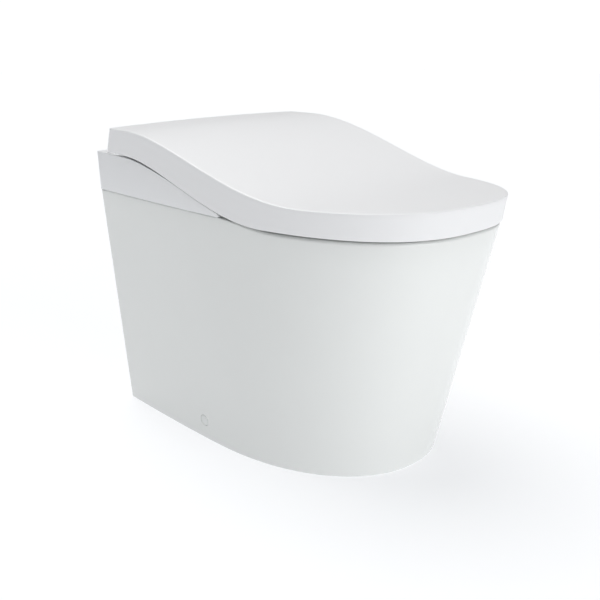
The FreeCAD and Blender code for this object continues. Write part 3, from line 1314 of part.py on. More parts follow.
def power_cord_gland():
    """Gland in the back where the mains lead would leave."""
    y = BACK_Y
    flange = cylinder((GLAND_X, y + 0.0, GLAND_Z), (0, -1, 0), GLAND_RADIUS, COVER_WALL + 1)
    nut = cylinder((GLAND_X, y - COVER_WALL - 0.2, GLAND_Z), (0, -1, 0), GLAND_RADIUS + 3, 5)
    bore = cylinder((GLAND_X, y + 5, GLAND_Z), (0, -1, 0), 4.0, 30)
    return fused([flange, nut]).cut(bore)


SENSOR_X = 70.0
SENSOR_Z = 424.0


def sensor_hole():
    return cylinder((SENSOR_X, COVER_FRONT_Y - 5, SENSOR_Z), (0, 1, 0), 9.1, 20)


def seat_sensor():
    """Lens of the sensor that knows when someone sits."""
    lens = cylinder((SENSOR_X, COVER_FRONT_Y - 0.5, SENSOR_Z), (0, 1, 0), 9.0, 5.0)
    back = cylinder((SENSOR_X, COVER_FRONT_Y + COVER_WALL + 0.2, SENSOR_Z), (0, 1, 0), 12.0, 8.0)
    return fused([lens, back])


def night_light():
    """Light strip under the front edge of the apron's roof."""
    return box((-40, COVER_FRONT_Y - 2.6, 385.5), (40, COVER_FRONT_Y - 0.1, 390.5))


# ======== buttons ========

def side_half_at(y, z):
    """Half width of the housing's outside."""
    mid = LID_HALF_WIDTH + SIDE_LEAN * (z - height_at(LID_TOP, WIDEST_Y))
    back = BACK_HALF_WIDTH + BACK_LEAN * (z - LEDGE_Z)
    return side_half(mid, back, y)


def side_button(y):
    """Round button with a stem and a collar behind the wall, on the +X side."""
    x1 = side_half_at(y, BUTTON_Z) + 1.6
    cap = cylinder((x1, y, BUTTON_Z), (-1, 0, 0), BUTTON_RADIUS, 8.0)
    cap = cap.makeFillet(1.0, [e for e in cap.Edges if e.Closed and e.CenterOfMass.x > x1 - 0.1])
    stem = cylinder((x1 - 8, y, BUTTON_Z), (-1, 0, 0), 2.5, 6.0)
    return fused([cap, stem])


def button_switch_board():
    """Small board with the two switches that the buttons press."""
    x1 = min(side_half_at(y, BUTTON_Z) for y in BUTTON_Y) + 1.6 - 14.0
    board = box((x1 - 6.6, BUTTON_Y[0] - 12, 420.5), (x1 - 5.0, BUTTON_Y[1] + 12, 430.5))
    blocks = [box((x1 - 6.6, y - 4, BUTTON_Z - 3.5), (x1 - BUTTON_TRAVEL - 0.6, y + 4, BUTTON_Z + 5))
              for y in BUTTON_Y]
    return fused([board] + blocks)


# ======== flush works in the rear bay ========

def flush_tank():
    """Tank beside the trapway, shaped to the leaning skirt."""
    low, high = 40.0, 320.0
    wall = TANK_WALL
    outer = skirt_block(SKIRT_WALL + 3).common(box((-170, 150, low), (-56, TANK_BACK_Y, high)))
    inner = skirt_block(SKIRT_WALL + 3 + wall).common(
        box((-170, 150 + wall, low + wall), (-56 - wall, TANK_BACK_Y - wall, high - wall)))
    body = outer.cut(inner)
    neck = ring((-90, 220, high - 0.5), (0, 0, 1), 10.0, 7.0, 14)
    outlet = ring(TANK_OUTLET, (1, 0, 0), 11.0, 8.0, 12)
    body = body.fuse([neck, outlet])
    body = body.cut(cylinder((-90, 220, high - 5), (0, 0, 1), 7.0, 30))
    x, y, z = TANK_OUTLET
    return only_solid(body.cut(cylinder((x - 8.5, y, z), (1, 0, 0), 8.0, 40)))


def flush_pump():
    """Pump that drives the flush, beside the outlet."""
    can = cylinder((96, 262, 40), (0, 0, 1), 27.0, 62)
    cap = cylinder((96, 262, 102), (0, 0, 1), 22.0, 16)
    volute = cylinder((96, 262, 18), (0, 0, 1), 33.0, 22)
    feet = rounded_box((64, 230, 0), (128, 290, 18), 8.0)
    inlet = cylinder((64, 262, 29), (-1, 0, 0), 9.0, 16)
    outlet = cylinder((96, 230, 29), (0, -1, 0), 9.0, 14)
    return fused([can, cap, volute, feet, inlet, outlet])


def flush_hoses():
    """Hoses from the tank to the pump and from the pump to the rim jet."""
    x, y, z = TANK_OUTLET
    suction = tube([(x + 12.3, y, z), (-20, y, z), (20, 262, 29), (47.7, 262, 29)], 16.0, 8.0)
    jet = tube([(96, 215.7, 29), (96, 180, 29), (96, 180, 200), (96, 146, 320)], 20.0, 7.0)
    return Part.Compound([suction, jet])


def rim_jet_valve():
    """Flush valve under the deck that feeds the bowl's rim."""
    body = rounded_box((74, 142, 322), (118, 178, 352), 6.0)
    stem = cylinder((96, 160, 352), (0, 0, 1), 12.0, RIM_BACK - DECK_THICKNESS - 352 - 0.2)
    return fused([body, stem])


# ======== writing the parts ========

def build():
    """All nodes by name."""
    return {
        "ceramic_pedestal": ceramic_pedestal(),
        "side_screw_caps": side_screw_caps(),
        "side_fixing_screws": side_fixing_screws(),
        "floor_brackets": floor_brackets(),
        "outlet_seal_ring": outlet_seal_ring(),
        "unit_cover": unit_cover(),
        "unit_base_plate": unit_base_plate(),
        "unit_fixing_bolts": unit_fixing_bolts(),
        "lid_outer_shell": lid_outer_shell(),
        "lid_inner_panel": lid_inner_panel(),
        "lid_bumpers": lid_bumpers(),
        "seat_top_shell": seat_top_shell(),
        "seat_bottom_shell": seat_bottom_shell(),
        "seat_heater": seat_heater(),
        "seat_thermostat": seat_thermostat(),
        "seat_bumpers": seat_bumpers(),
        "hinge_pins": hinge_pins(),
        "seat_hinge_drive": hinge_drive(1),
        "lid_hinge_drive": hinge_drive(-1),
        "wash_wand_tube": wand_tube(-WAND_X),
        "wash_wand_nose": wand_nose(-WAND_X, ((-2, 0), (0, 0), (2, 0), (-1, 2), (1, 2))),
        "bidet_wand_tube": wand_tube(WAND_X),
        "bidet_wand_nose": wand_nose(WAND_X, ((-2.5, 0), (0, 0), (2.5, 0), (-2.5, 3), (0, 3), (2.5, 3))),
        "wash_pinion": pinion(-WAND_X, -1),
        "bidet_pinion": pinion(WAND_X, 1),
        "wand_cradle": wand_cradle(),
        "wash_wand_motor": wand_motor(-1),
        "bidet_wand_motor": wand_motor(1),
        "heater_tank": heater_tank(),
        "water_heater_element": water_heater_element(),
        "water_inlet": water_inlet(),
        "inlet_valve": inlet_valve(),
        "inlet_filter": inlet_filter(),
        "wash_pump": wash_pump(),
        "diverter_valve": diverter_valve(),
        "diverter_motor": diverter_motor(),
        "water_hoses": water_hoses(),
        "dryer_housing": dryer_housing(),
        "dryer_motor": dryer_motor(),
        "dryer_blower_wheel": blower_wheel(),
        "dryer_duct": dryer_duct(),
        "dryer_heater": dryer_heater(),
        "dryer_flap": dryer_flap(),
        "dryer_flap_pin": flap_pin(),
        "deodoriser_fan_case": smell_fan_case(),
        "deodoriser_fan_wheel": smell_fan_wheel(),
        "deodoriser_filter": smell_filter(),
        "control_board": control_board(),
        "power_supply": power_supply(),
        "power_cord_gland": power_cord_gland(),
        "seat_sensor": seat_sensor(),
        "night_light": night_light(),
        "flush_button": side_button(BUTTON_Y[0]),
        "stop_button": side_button(BUTTON_Y[1]),
        "button_switch_board": button_switch_board(),
        "flush_tank": flush_tank(),
        "flush_pump": flush_pump(),
        "flush_hoses": flush_hoses(),
        "rim_jet_valve": rim_jet_valve(),
    }


def main():
    os.makedirs("parts", exist_ok=True)
    for name, shape in build().items():
        solids = shape.Solids
        print(f"{name:24s} solids {len(solids)} valid {shape.isValid()} "
              f"volume {shape.Volume / 1000:9.1f} cm3")
        shape.exportStep(os.path.join("parts", name + ".step"))


main()
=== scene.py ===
import json
import logging
import math
from dataclasses import dataclass, field, replace
from enum import Enum
from typing import Callable, Sequence

import bmesh
import bpy
import numpy as np
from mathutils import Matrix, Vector


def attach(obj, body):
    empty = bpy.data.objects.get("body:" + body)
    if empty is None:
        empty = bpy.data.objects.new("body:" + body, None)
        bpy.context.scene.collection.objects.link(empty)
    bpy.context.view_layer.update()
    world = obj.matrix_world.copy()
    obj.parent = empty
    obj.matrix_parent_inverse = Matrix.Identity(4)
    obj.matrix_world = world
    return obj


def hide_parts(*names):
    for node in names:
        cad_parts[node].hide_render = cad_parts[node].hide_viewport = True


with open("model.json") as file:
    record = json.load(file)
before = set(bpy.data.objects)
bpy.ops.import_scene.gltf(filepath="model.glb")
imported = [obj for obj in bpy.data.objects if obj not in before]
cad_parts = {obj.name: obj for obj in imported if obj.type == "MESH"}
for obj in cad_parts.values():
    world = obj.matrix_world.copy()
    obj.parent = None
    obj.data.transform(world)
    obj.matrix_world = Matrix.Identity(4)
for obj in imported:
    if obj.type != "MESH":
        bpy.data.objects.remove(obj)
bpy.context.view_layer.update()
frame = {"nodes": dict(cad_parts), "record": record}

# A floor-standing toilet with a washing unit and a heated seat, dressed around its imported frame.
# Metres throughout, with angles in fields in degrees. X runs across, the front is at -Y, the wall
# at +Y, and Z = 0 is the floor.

LOG = logging.getLogger("toilet")

Points = np.ndarray
Height = Callable[[Points, Points], Points]


# ======== the object's own curves ========

@dataclass(frozen=True)
class Climb:
    """A height that is level in front, climbs along Y as a smooth step and is level again."""

    front: float
    back: float
    start: float
    end: float

    def at(self, y: Points | float) -> Points:
        """Height at Y: front + rise * (3t^2 - 2t^3), where t is the clamped share of the climb.

        Args:
            y: places along the object.
        Returns:
            The height at each place.
        """
        t = np.clip((np.asarray(y) - self.start) / (self.end - self.start), 0.0, 1.0)
        return self.front + (self.back - self.front) * t * t * (3 - 2 * t)


LID_TOP = Climb(0.4133, 0.4885, -0.157, 0.207)
BAND_LOW = Climb(0.3777, 0.4487, -0.092, 0.228)
RIM_TOP = Climb(0.3752, 0.3838, -0.110, 0.0)
LID_CROWN = 0.0032
HALF_WIDTH = 0.2104
WIDEST_Y = 0.040
BACK_Y = 0.310


def lid_crest(x: Points, y: Points) -> Points:
    """Top of the lid: its climb plus a crown that falls off as the square of X."""
    return LID_TOP.at(y) + LID_CROWN * (1 - (x / HALF_WIDTH) ** 2)


def shares(steps: int) -> Points:
    """Even shares from 0 to 1, without the 0."""
    return np.linspace(0.0, 1.0, steps + 1)[1:]


def quarter(steps: int) -> Points:
    """Even angles of a quarter turn, without the 0."""
    return np.linspace(0, math.pi / 2, steps + 1)[1:]


@dataclass(frozen=True)
class Stations:
    """How many points a plan outline has in its round front, sides, corners and back."""

    turns: int = 145
    sides: int = 48
    corners: int = 6
    back: int = 40
    crowding: float = 1.3

    def front(self) -> Points:
        """Angles from the widest place on the right over the tip to the left, denser at both ends.

        With v from 0 to 1, the share of a quarter turn is v^q / (v^q + (1-v)^q), where q is the
        crowding.

        Returns:
            The angles in radians.
        """
        v = np.linspace(-1.0, 1.0, self.turns)
        near, far = np.abs(v) ** self.crowding, (1 - np.abs(v)) ** self.crowding
        return -np.sign(v) * (near / (near + far)) * math.pi / 2


@dataclass(frozen=True)
class Plan:
    """Plan outline whose front is a superellipse and whose sides draw in by a power law."""

    half: float
    back_half: float
    reach: float
    power: float
    widest: float
    back: float = BACK_Y
    draw_in: float = 1.5
    corner: float = 0.005
    stations: Stations = field(default_factory=Stations)

    def drawn_in(self, inset: float) -> "Plan":
        """The same plan with all its walls drawn in."""
        return replace(self, half=self.half - inset, back_half=self.back_half - inset,
                       reach=self.reach - inset, back=self.back - inset)

    def side(self, y: Points | float) -> Points:
        """Half width behind the widest place: half - (half - back_half) * share^1.5."""
        share = np.clip((np.asarray(y) - self.widest) / (BACK_Y - self.widest), 0.0, 2.0)
        return self.half - (self.half - self.back_half) * share ** self.draw_in

    def front_arc(self) -> Points:
        """Front from the right over the tip to the left: x = half * sin^(2/p), y likewise with cos.

        Returns:
            Points as rows of x, y.
        """
        turn = self.stations.front()
        x = self.half * np.sign(turn) * np.abs(np.sin(turn)) ** (2 / self.power)
        y = self.widest - self.reach * np.abs(np.cos(turn)) ** (2 / self.power)
        return np.stack([x, y], axis=1)

    def side_run(self, end_y: float, sign: int) -> Points:
        """One side from just behind the widest place to a place near the back."""
        y = self.widest + (end_y - self.widest) * shares(self.stations.sides)
        return np.stack([sign * self.side(y), y], axis=1)

    def open_outline(self, end_y: float) -> Points:
        """Outline from the right back end round the front to the left back end.

        Args:
            end_y: where both sides stop.
        Returns:
            Points as rows of x, y.
        """
        right = self.side_run(end_y, 1)[::-1]
        return np.concatenate([right, self.front_arc(), self.side_run(end_y, -1)])

    def loop(self) -> Points:
        """Closed outline: front, left side, left corner, back, right corner, right side.

        Returns:
            Points as rows of x, y.
        """
        end_y = self.back - self.corner
        half = float(self.side(end_y)) - self.corner
        turn = quarter(self.stations.corners)
        arc_x = half + self.corner * np.cos(turn)
        arc_y = end_y + self.corner * np.sin(turn)
        left = np.stack([-arc_x, arc_y], axis=1)
        right = np.stack([arc_x, arc_y], axis=1)[::-1]
        across = np.linspace(-half, half, self.stations.back + 2)[1:]
        rear = np.stack([across, np.full_like(across, self.back)], axis=1)
        return np.concatenate([self.front_arc(), self.side_run(end_y, -1), left, rear, right[1:],
                               self.side_run(end_y, 1)[::-1]])


@dataclass(frozen=True)
class Lean:
    """A size that grows evenly with the height, as between walls that lean outwards."""

    size: float
    slope: float
    height: float

    def at(self, z: float) -> float:
        """Size at a height: size + slope * (z - height)."""
        return self.size + self.slope * (z - self.height)


BODY_HALF = Lean(HALF_WIDTH, 0.08, float(LID_TOP.at(WIDEST_Y)))
BODY_BACK_HALF = Lean(0.1945, 0.05, 0.447)
BODY_REACH = Lean(0.350, 0.16, 0.4165)
BODY_POWER = 2.6


def body_plan(z: float, inset: float = 0.0, back_inset: float = 0.0,
              front_inset: float = 0.0) -> Plan:
    """Outline of the lid, the housing and the rim at a height; the walls lean outwards going up.

    Args:
        z: height of the outline.
        inset: how far all walls but the back one are drawn in.
        back_inset: how far the back wall is drawn in.
        front_inset: further distance that the front is drawn in.
    Returns:
        The plan at that height.
    """
    return Plan(BODY_HALF.at(z) - inset, BODY_BACK_HALF.at(z) - inset,
                BODY_REACH.at(z) - inset - front_inset, BODY_POWER, WIDEST_Y, BACK_Y - back_inset)


# ======== mesh building ========

# Distances under which two points are one, and the angle under which copied faces are one plane.
GRID_WELD = 2e-6
PRISM_WELD = 1e-7
COPY_WELD = 4e-6
COPY_FLAT_DEGREES = 0.6

# How finely edges, bends and round bars are stepped, and how much a path may run along X before
# its circles are squared up by Z instead.
EDGE_STEPS = 2
EDGE_DEGREES = 40.0
BEND_STEPS = 10
PIPE_STEPS = 40
BORE_STEPS = 48
ALONG_X = 0.7


def new_object(name: str, data: bpy.types.ID) -> bpy.types.Object:
    """Puts a mesh, a light or a camera into the scene as an object at the origin.

    Args:
        name: the object's name.
        data: what it shows.
    Returns:
        The new object.
    """
    obj = bpy.data.objects.new(name, data)
    bpy.context.scene.collection.objects.link(obj)
    return obj


def object_from_faces(name: str, points: Points, faces: list[list[int]], weld: float
                      ) -> bpy.types.Object:
    """Makes an object from points and faces.

    Args:
        name: the object's name.
        points: rows of x, y, z.
        faces: point numbers of each face.
        weld: distance under which two points are one.
    Returns:
        The new object.
    """
    mesh = bpy.data.meshes.new(name)
    mesh.from_pydata(points.tolist(), [], faces)
    mend(mesh, weld)
    return new_object(name, mesh)


def grid_faces(rows: int, columns: int, offset: int) -> Points:
    """Quads of a grid whose points are numbered row by row.

    Args:
        rows: how many rows of points it has.
        columns: how many points a row has.
        offset: number of its first point.
    Returns:
        Four point numbers for each quad.
    """
    index = np.arange(rows * columns).reshape(rows, columns) + offset
    quads = np.stack([index[:-1, :-1], index[:-1, 1:], index[1:, 1:], index[1:, :-1]], axis=-1)
    return quads.reshape(-1, 4)


def object_from_grids(name: str, grids: Sequence[Points]) -> bpy.types.Object:
    """Joins point grids into one mesh: equal points are merged and faces turned outwards.

    Args:
        name: the object's name.
        grids: arrays of rows, columns and x, y, z.
    Returns:
        The new object.
    """
    points, quads, offset = [], [], 0
    for grid in grids:
        rows, columns = grid.shape[:2]
        points.append(grid.reshape(-1, 3))
        quads.append(grid_faces(rows, columns, offset))
        offset += rows * columns
    return object_from_faces(name, np.concatenate(points), np.concatenate(quads).tolist(),
                             GRID_WELD)


def mend(mesh: bpy.types.Mesh, weld: float) -> None:
    """Merges equal points, drops faces without area and turns the rest outwards.

    Args:
        mesh: the mesh to mend.
        weld: distance under which two points are one.
    """
    work = bmesh.new()
    work.from_mesh(mesh)
    bmesh.ops.remove_doubles(work, verts=work.verts, dist=weld)
    bmesh.ops.dissolve_degenerate(work, edges=work.edges, dist=weld / 2)
    bmesh.ops.recalc_face_normals(work, faces=work.faces)
    work.to_mesh(mesh)
    work.free()
    mesh.update()


def smooth(obj: bpy.types.Object, angle: float = 32.0) -> bpy.types.Object:
    """Smooth shading with sharp edges kept.

    Args:
        obj: the object.
        angle: edges sharper than this many degrees stay sharp.
    Returns:
        The object.
    """
    obj.data.shade_smooth()
    obj.data.set_sharp_from_angle(angle=math.radians(angle))
    return obj


def settle(obj: bpy.types.Object) -> None:
    """Applies the object's modifiers to its mesh.

    Args:
        obj: the object.
    """
    graph = bpy.context.evaluated_depsgraph_get()
    done = bpy.data.meshes.new_from_object(obj.evaluated_get(graph), depsgraph=graph)
    old = obj.data
    obj.modifiers.clear()
    obj.data = done
    done.name = obj.name
    bpy.data.meshes.remove(old)


class Cut(Enum):
    """How one solid changes another."""

    AWAY = "DIFFERENCE"
    WITH = "UNION"


def carve(obj: bpy.types.Object, tools: Sequence[bpy.types.Object], how: Cut) -> bpy.types.Object:
    """Joins, cuts or trims a solid with others, which are used up.

    Args:
        obj: the solid that stays.
        tools: the solids that act on it, one after another.
        how: what they do.
    Returns:
        The changed solid.
    """
    for tool in tools:
        step = obj.modifiers.new("carve", "BOOLEAN")
        step.operation = how.value
        step.solver = "MANIFOLD"
        step.object = tool
    settle(obj)
    for tool in tools:
        mesh = tool.data
        bpy.data.objects.remove(tool)
        bpy.data.meshes.remove(mesh)
    return obj


def edge_softened(obj: bpy.types.Object, width: float) -> bpy.types.Object:
    """Rounds the object's sharp edges by a small width.

    Args:
        obj: the object.
        width: width of the rounding.
    Returns:
        The object.
    """
    step = obj.modifiers.new("edges", "BEVEL")
    step.width = width
    step.segments = EDGE_STEPS
    step.limit_method = "ANGLE"
    step.angle_limit = math.radians(EDGE_DEGREES)
    step.use_clamp_overlap = True
    settle(obj)
    return smooth(obj)


def prism(name: str, loop: Points, low: float, high: float) -> bpy.types.Object:
    """Upright prism over a closed plan loop.

    Args:
        name: the object's name.
        loop: plan points.
        low: height of its lower face.
        high: height of its upper face.
    Returns:
        The prism as an object.
    """
    count = len(loop)
    points = np.concatenate([np.column_stack([loop, np.full(count, z)]) for z in (low, high)])
    foot = np.arange(count)
    after = np.roll(foot, -1)
    faces = np.stack([foot, after, after + count, foot + count], axis=1).tolist()
    faces += [foot[::-1].tolist(), (foot + count).tolist()]
    return object_from_faces(name, points, faces, PRISM_WELD)


@dataclass(frozen=True)
class Box:
    """Upright block between two corners, with rounded or sharp vertical edges."""

    low: tuple[float, float, float]
    high: tuple[float, float, float]
    radius: float = 0.0
    turns: int = 6

    def solid(self, name: str) -> bpy.types.Object:
        """The block as an object.

        Args:
            name: the object's name.
        Returns:
            The object.
        """
        x0, y0, z0 = self.low
        x1, y1, z1 = self.high
        corners = np.array([(x1, y1), (x0, y1), (x0, y0), (x1, y0)])
        if not self.radius:
            return prism(name, corners, z0, z1)
        turn = np.concatenate([[0.0], quarter(self.turns)])
        outline = []
        for k, corner in enumerate(corners):
            inwards = np.where(corner == (x1, y1), -1, 1)
            angle = turn + k * math.pi / 2
            arc = self.radius * np.column_stack([np.cos(angle), np.sin(angle)])
            outline.append(corner + inwards * self.radius + arc)
        return prism(name, np.concatenate(outline), z0, z1)


def rounded_path(corners: Sequence[Sequence[float]], bend: float) -> Points:
    """Path of straight runs whose corners are arcs that touch both runs.

    An arc's point is centre + r * cos(a) towards the corner + r * sin(a) along the way.

    Args:
        corners: the corner points.
        bend: radius of the arcs.
    Returns:
        Points along the path.
    """
    corners = np.asarray(corners, float)
    path = [corners[0]]
    for before, corner, after in zip(corners, corners[1:], corners[2:]):
        into = (corner - before) / np.linalg.norm(corner - before)
        out = (after - corner) / np.linalg.norm(after - corner)
        half = math.acos(float(np.clip(into @ out, -1, 1))) / 2
        centre_way = (out - into) / np.linalg.norm(out - into)
        centre = corner + centre_way * bend / math.cos(half)
        turn = np.linspace(-half, half, BEND_STEPS + 1)[:, None]
        middle_way = (into + out) / np.linalg.norm(into + out)
        path.extend(centre - centre_way * bend * np.cos(turn) + middle_way * bend * np.sin(turn))
    path.append(corners[-1])
    return np.array(path)


def tube(name: str, path: Points, radius: float, around: int = PIPE_STEPS) -> bpy.types.Object:
    """Closed round bar along a path: circles square to the path, with both ends capped.

    Args:
        name: the object's name.
        path: points along the middle.
        radius: its radius.
        around: points in each circle.
    Returns:
        The bar as an object.
    """
    way = np.gradient(path, axis=0)
    way /= np.linalg.norm(way, axis=1, keepdims=True)
    guide = np.array([1.0, 0, 0]) if abs(way[0, 0]) < ALONG_X else np.array([0, 0, 1.0])
    side = np.cross(way, guide)
    side /= np.linalg.norm(side, axis=1, keepdims=True)
    other = np.cross(way, side)
    turn = np.linspace(0, 2 * math.pi, around + 1)[None, :, None]
    rings = path[:, None] + radius * (np.cos(turn) * side[:, None] + np.sin(turn) * other[:, None])
    start, end = (np.broadcast_to(path[k], rings[0].shape) for k in (0, -1))
    return object_from_grids(name, [np.stack([start, *rings, end])])


@dataclass(frozen=True)
class Bore:
    """Upright round bar, or the hole that it cuts."""

    x: float
    y: float
    radius: float
    low: float
    high: float

    def solid(self, name: str) -> bpy.types.Object:
        """The bar as an object."""
        path = np.array([(self.x, self.y, z) for z in np.linspace(self.low, self.high, 3)])
        return tube(name, path, self.radius, BORE_STEPS)


def node_copy(node: str, name: str) -> bpy.types.Object:
    """Copy of a frame node with its loose triangles joined and its flat faces made whole.

    Args:
        node: the frame node.
        name: name of the copy.
    Returns:
        The copy.
    """
    mesh = frame["nodes"][node].data.copy()
    work = bmesh.new()
    work.from_mesh(mesh)
    bmesh.ops.remove_doubles(work, verts=work.verts, dist=COPY_WELD)
    bmesh.ops.dissolve_limit(work, angle_limit=math.radians(COPY_FLAT_DEGREES),
                             verts=work.verts, edges=work.edges)
    work.to_mesh(mesh)
    work.free()
    mesh.materials.clear()
    mesh.name = name
    return new_object(name, mesh)


# ======== shared shader groups ========

# A noise lies mostly between these two values, so they stand for none and all of its effect.
NOISE_RANGE = (0.35, 0.70)
TONE_DETAIL = 3.0
GRAIN_DETAIL = 2.0


class Socket(Enum):
    """Kinds of socket on a shader group."""

    NUMBER = "NodeSocketFloat"
    COLOR = "NodeSocketColor"
    NORMAL = "NodeSocketVector"


class ShaderGroups:
    """Node groups that more than one finish uses, each built once."""

    def __init__(self) -> None:
        """Starts with no groups built."""
        self.built: dict[str, bpy.types.NodeTree] = {}

    def get(self, name: str, build: Callable[[str], bpy.types.NodeTree]) -> bpy.types.NodeTree:
        """The named group, built on first use.

        Args:
            name: the group's name.
            build: what builds it.
        Returns:
            The group.
        """
        if name not in self.built:
            self.built[name] = build(name)
        return self.built[name]

    def tone(self) -> bpy.types.NodeTree:
        """Colour that drifts slightly over the surface."""
        return self.get("soft_tone", self._build_tone)

    def grain(self) -> bpy.types.NodeTree:
        """Surface relief: broad waves plus a fine grain."""
        return self.get("surface_grain", self._build_grain)

    @staticmethod
    def _start(name: str, inputs: dict[str, Socket], output: str, kind: Socket
               ) -> tuple[bpy.types.NodeTree, bpy.types.Node, bpy.types.Node]:
        """An empty group with its sockets.

        Args:
            name: the group's name.
            inputs: name and kind of each input.
            output: the output's name.
            kind: the output's kind.
        Returns:
            The group with its input and output nodes.
        """
        group = bpy.data.node_groups.new(name, "ShaderNodeTree")
        for label, given in inputs.items():
            group.interface.new_socket(label, in_out="INPUT", socket_type=given.value)
        group.interface.new_socket(output, in_out="OUTPUT", socket_type=kind.value)
        return group, group.nodes.new("NodeGroupInput"), group.nodes.new("NodeGroupOutput")

    @classmethod
    def _build_tone(cls, name: str) -> bpy.types.NodeTree:
        """A noise, spread over its usual range, mixes a colour with a second one.

        Args:
            name: the group's name.
        Returns:
            The group.
        """
        sockets = {"Color": Socket.COLOR, "Second": Socket.COLOR, "Scale": Socket.NUMBER,
                   "Amount": Socket.NUMBER}
        group, given, out = cls._start(name, sockets, "Color", Socket.COLOR)
        place = group.nodes.new("ShaderNodeTexCoord")
        noise = group.nodes.new("ShaderNodeTexNoise")
        noise.inputs["Detail"].default_value = TONE_DETAIL
        spread = group.nodes.new("ShaderNodeMapRange")
        spread.inputs["From Min"].default_value = NOISE_RANGE[0]
        spread.inputs["From Max"].default_value = NOISE_RANGE[1]
        strength = group.nodes.new("ShaderNodeMath")
        strength.operation = "MULTIPLY"
        mix = group.nodes.new("ShaderNodeMix")
        mix.data_type = "RGBA"
        # The Mix node has sockets of the same name for each kind, so its colours go by number.
        first, second, mixed = mix.inputs[6], mix.inputs[7], mix.outputs[2]
        link = group.links.new
        link(place.outputs["Object"], noise.inputs["Vector"])
        link(given.outputs["Scale"], noise.inputs["Scale"])
        link(noise.outputs["Fac"], spread.inputs["Value"])
        link(spread.outputs["Result"], strength.inputs[0])
        link(given.outputs["Amount"], strength.inputs[1])
        link(strength.outputs["Value"], mix.inputs["Factor"])
        link(given.outputs["Color"], first)
        link(given.outputs["Second"], second)
        link(mixed, out.inputs["Color"])
        return group

    @classmethod
    def _build_grain(cls, name: str) -> bpy.types.NodeTree:
        """Two noises at two scales, each through its own bump.

        Args:
            name: the group's name.
        Returns:
            The group.
        """
        pairs = (("Wave Scale", "Wave Depth"), ("Grain Scale", "Grain Depth"))
        sockets = {label: Socket.NUMBER for pair in pairs for label in pair}
        group, given, out = cls._start(name, sockets, "Normal", Socket.NORMAL)
        place = group.nodes.new("ShaderNodeTexCoord")
        link = group.links.new
        before = None
        for scale, depth in pairs:
            noise = group.nodes.new("ShaderNodeTexNoise")
            noise.inputs["Detail"].default_value = GRAIN_DETAIL
            bump = group.nodes.new("ShaderNodeBump")
            bump.inputs["Strength"].default_value = 1.0
            bump.inputs["Distance"].default_value = 1.0
            height = group.nodes.new("ShaderNodeMath")
            height.operation = "MULTIPLY"
            link(place.outputs["Object"], noise.inputs["Vector"])
            link(given.outputs[scale], noise.inputs["Scale"])
            link(noise.outputs["Fac"], height.inputs[0])
            link(given.outputs[depth], height.inputs[1])
            link(height.outputs["Value"], bump.inputs["Height"])
            if before is not None:
                link(before.outputs["Normal"], bump.inputs["Normal"])
            before = bump
        link(before.outputs["Normal"], out.inputs["Normal"])
        return group


GROUPS = ShaderGroups()


# ======== finishes ========

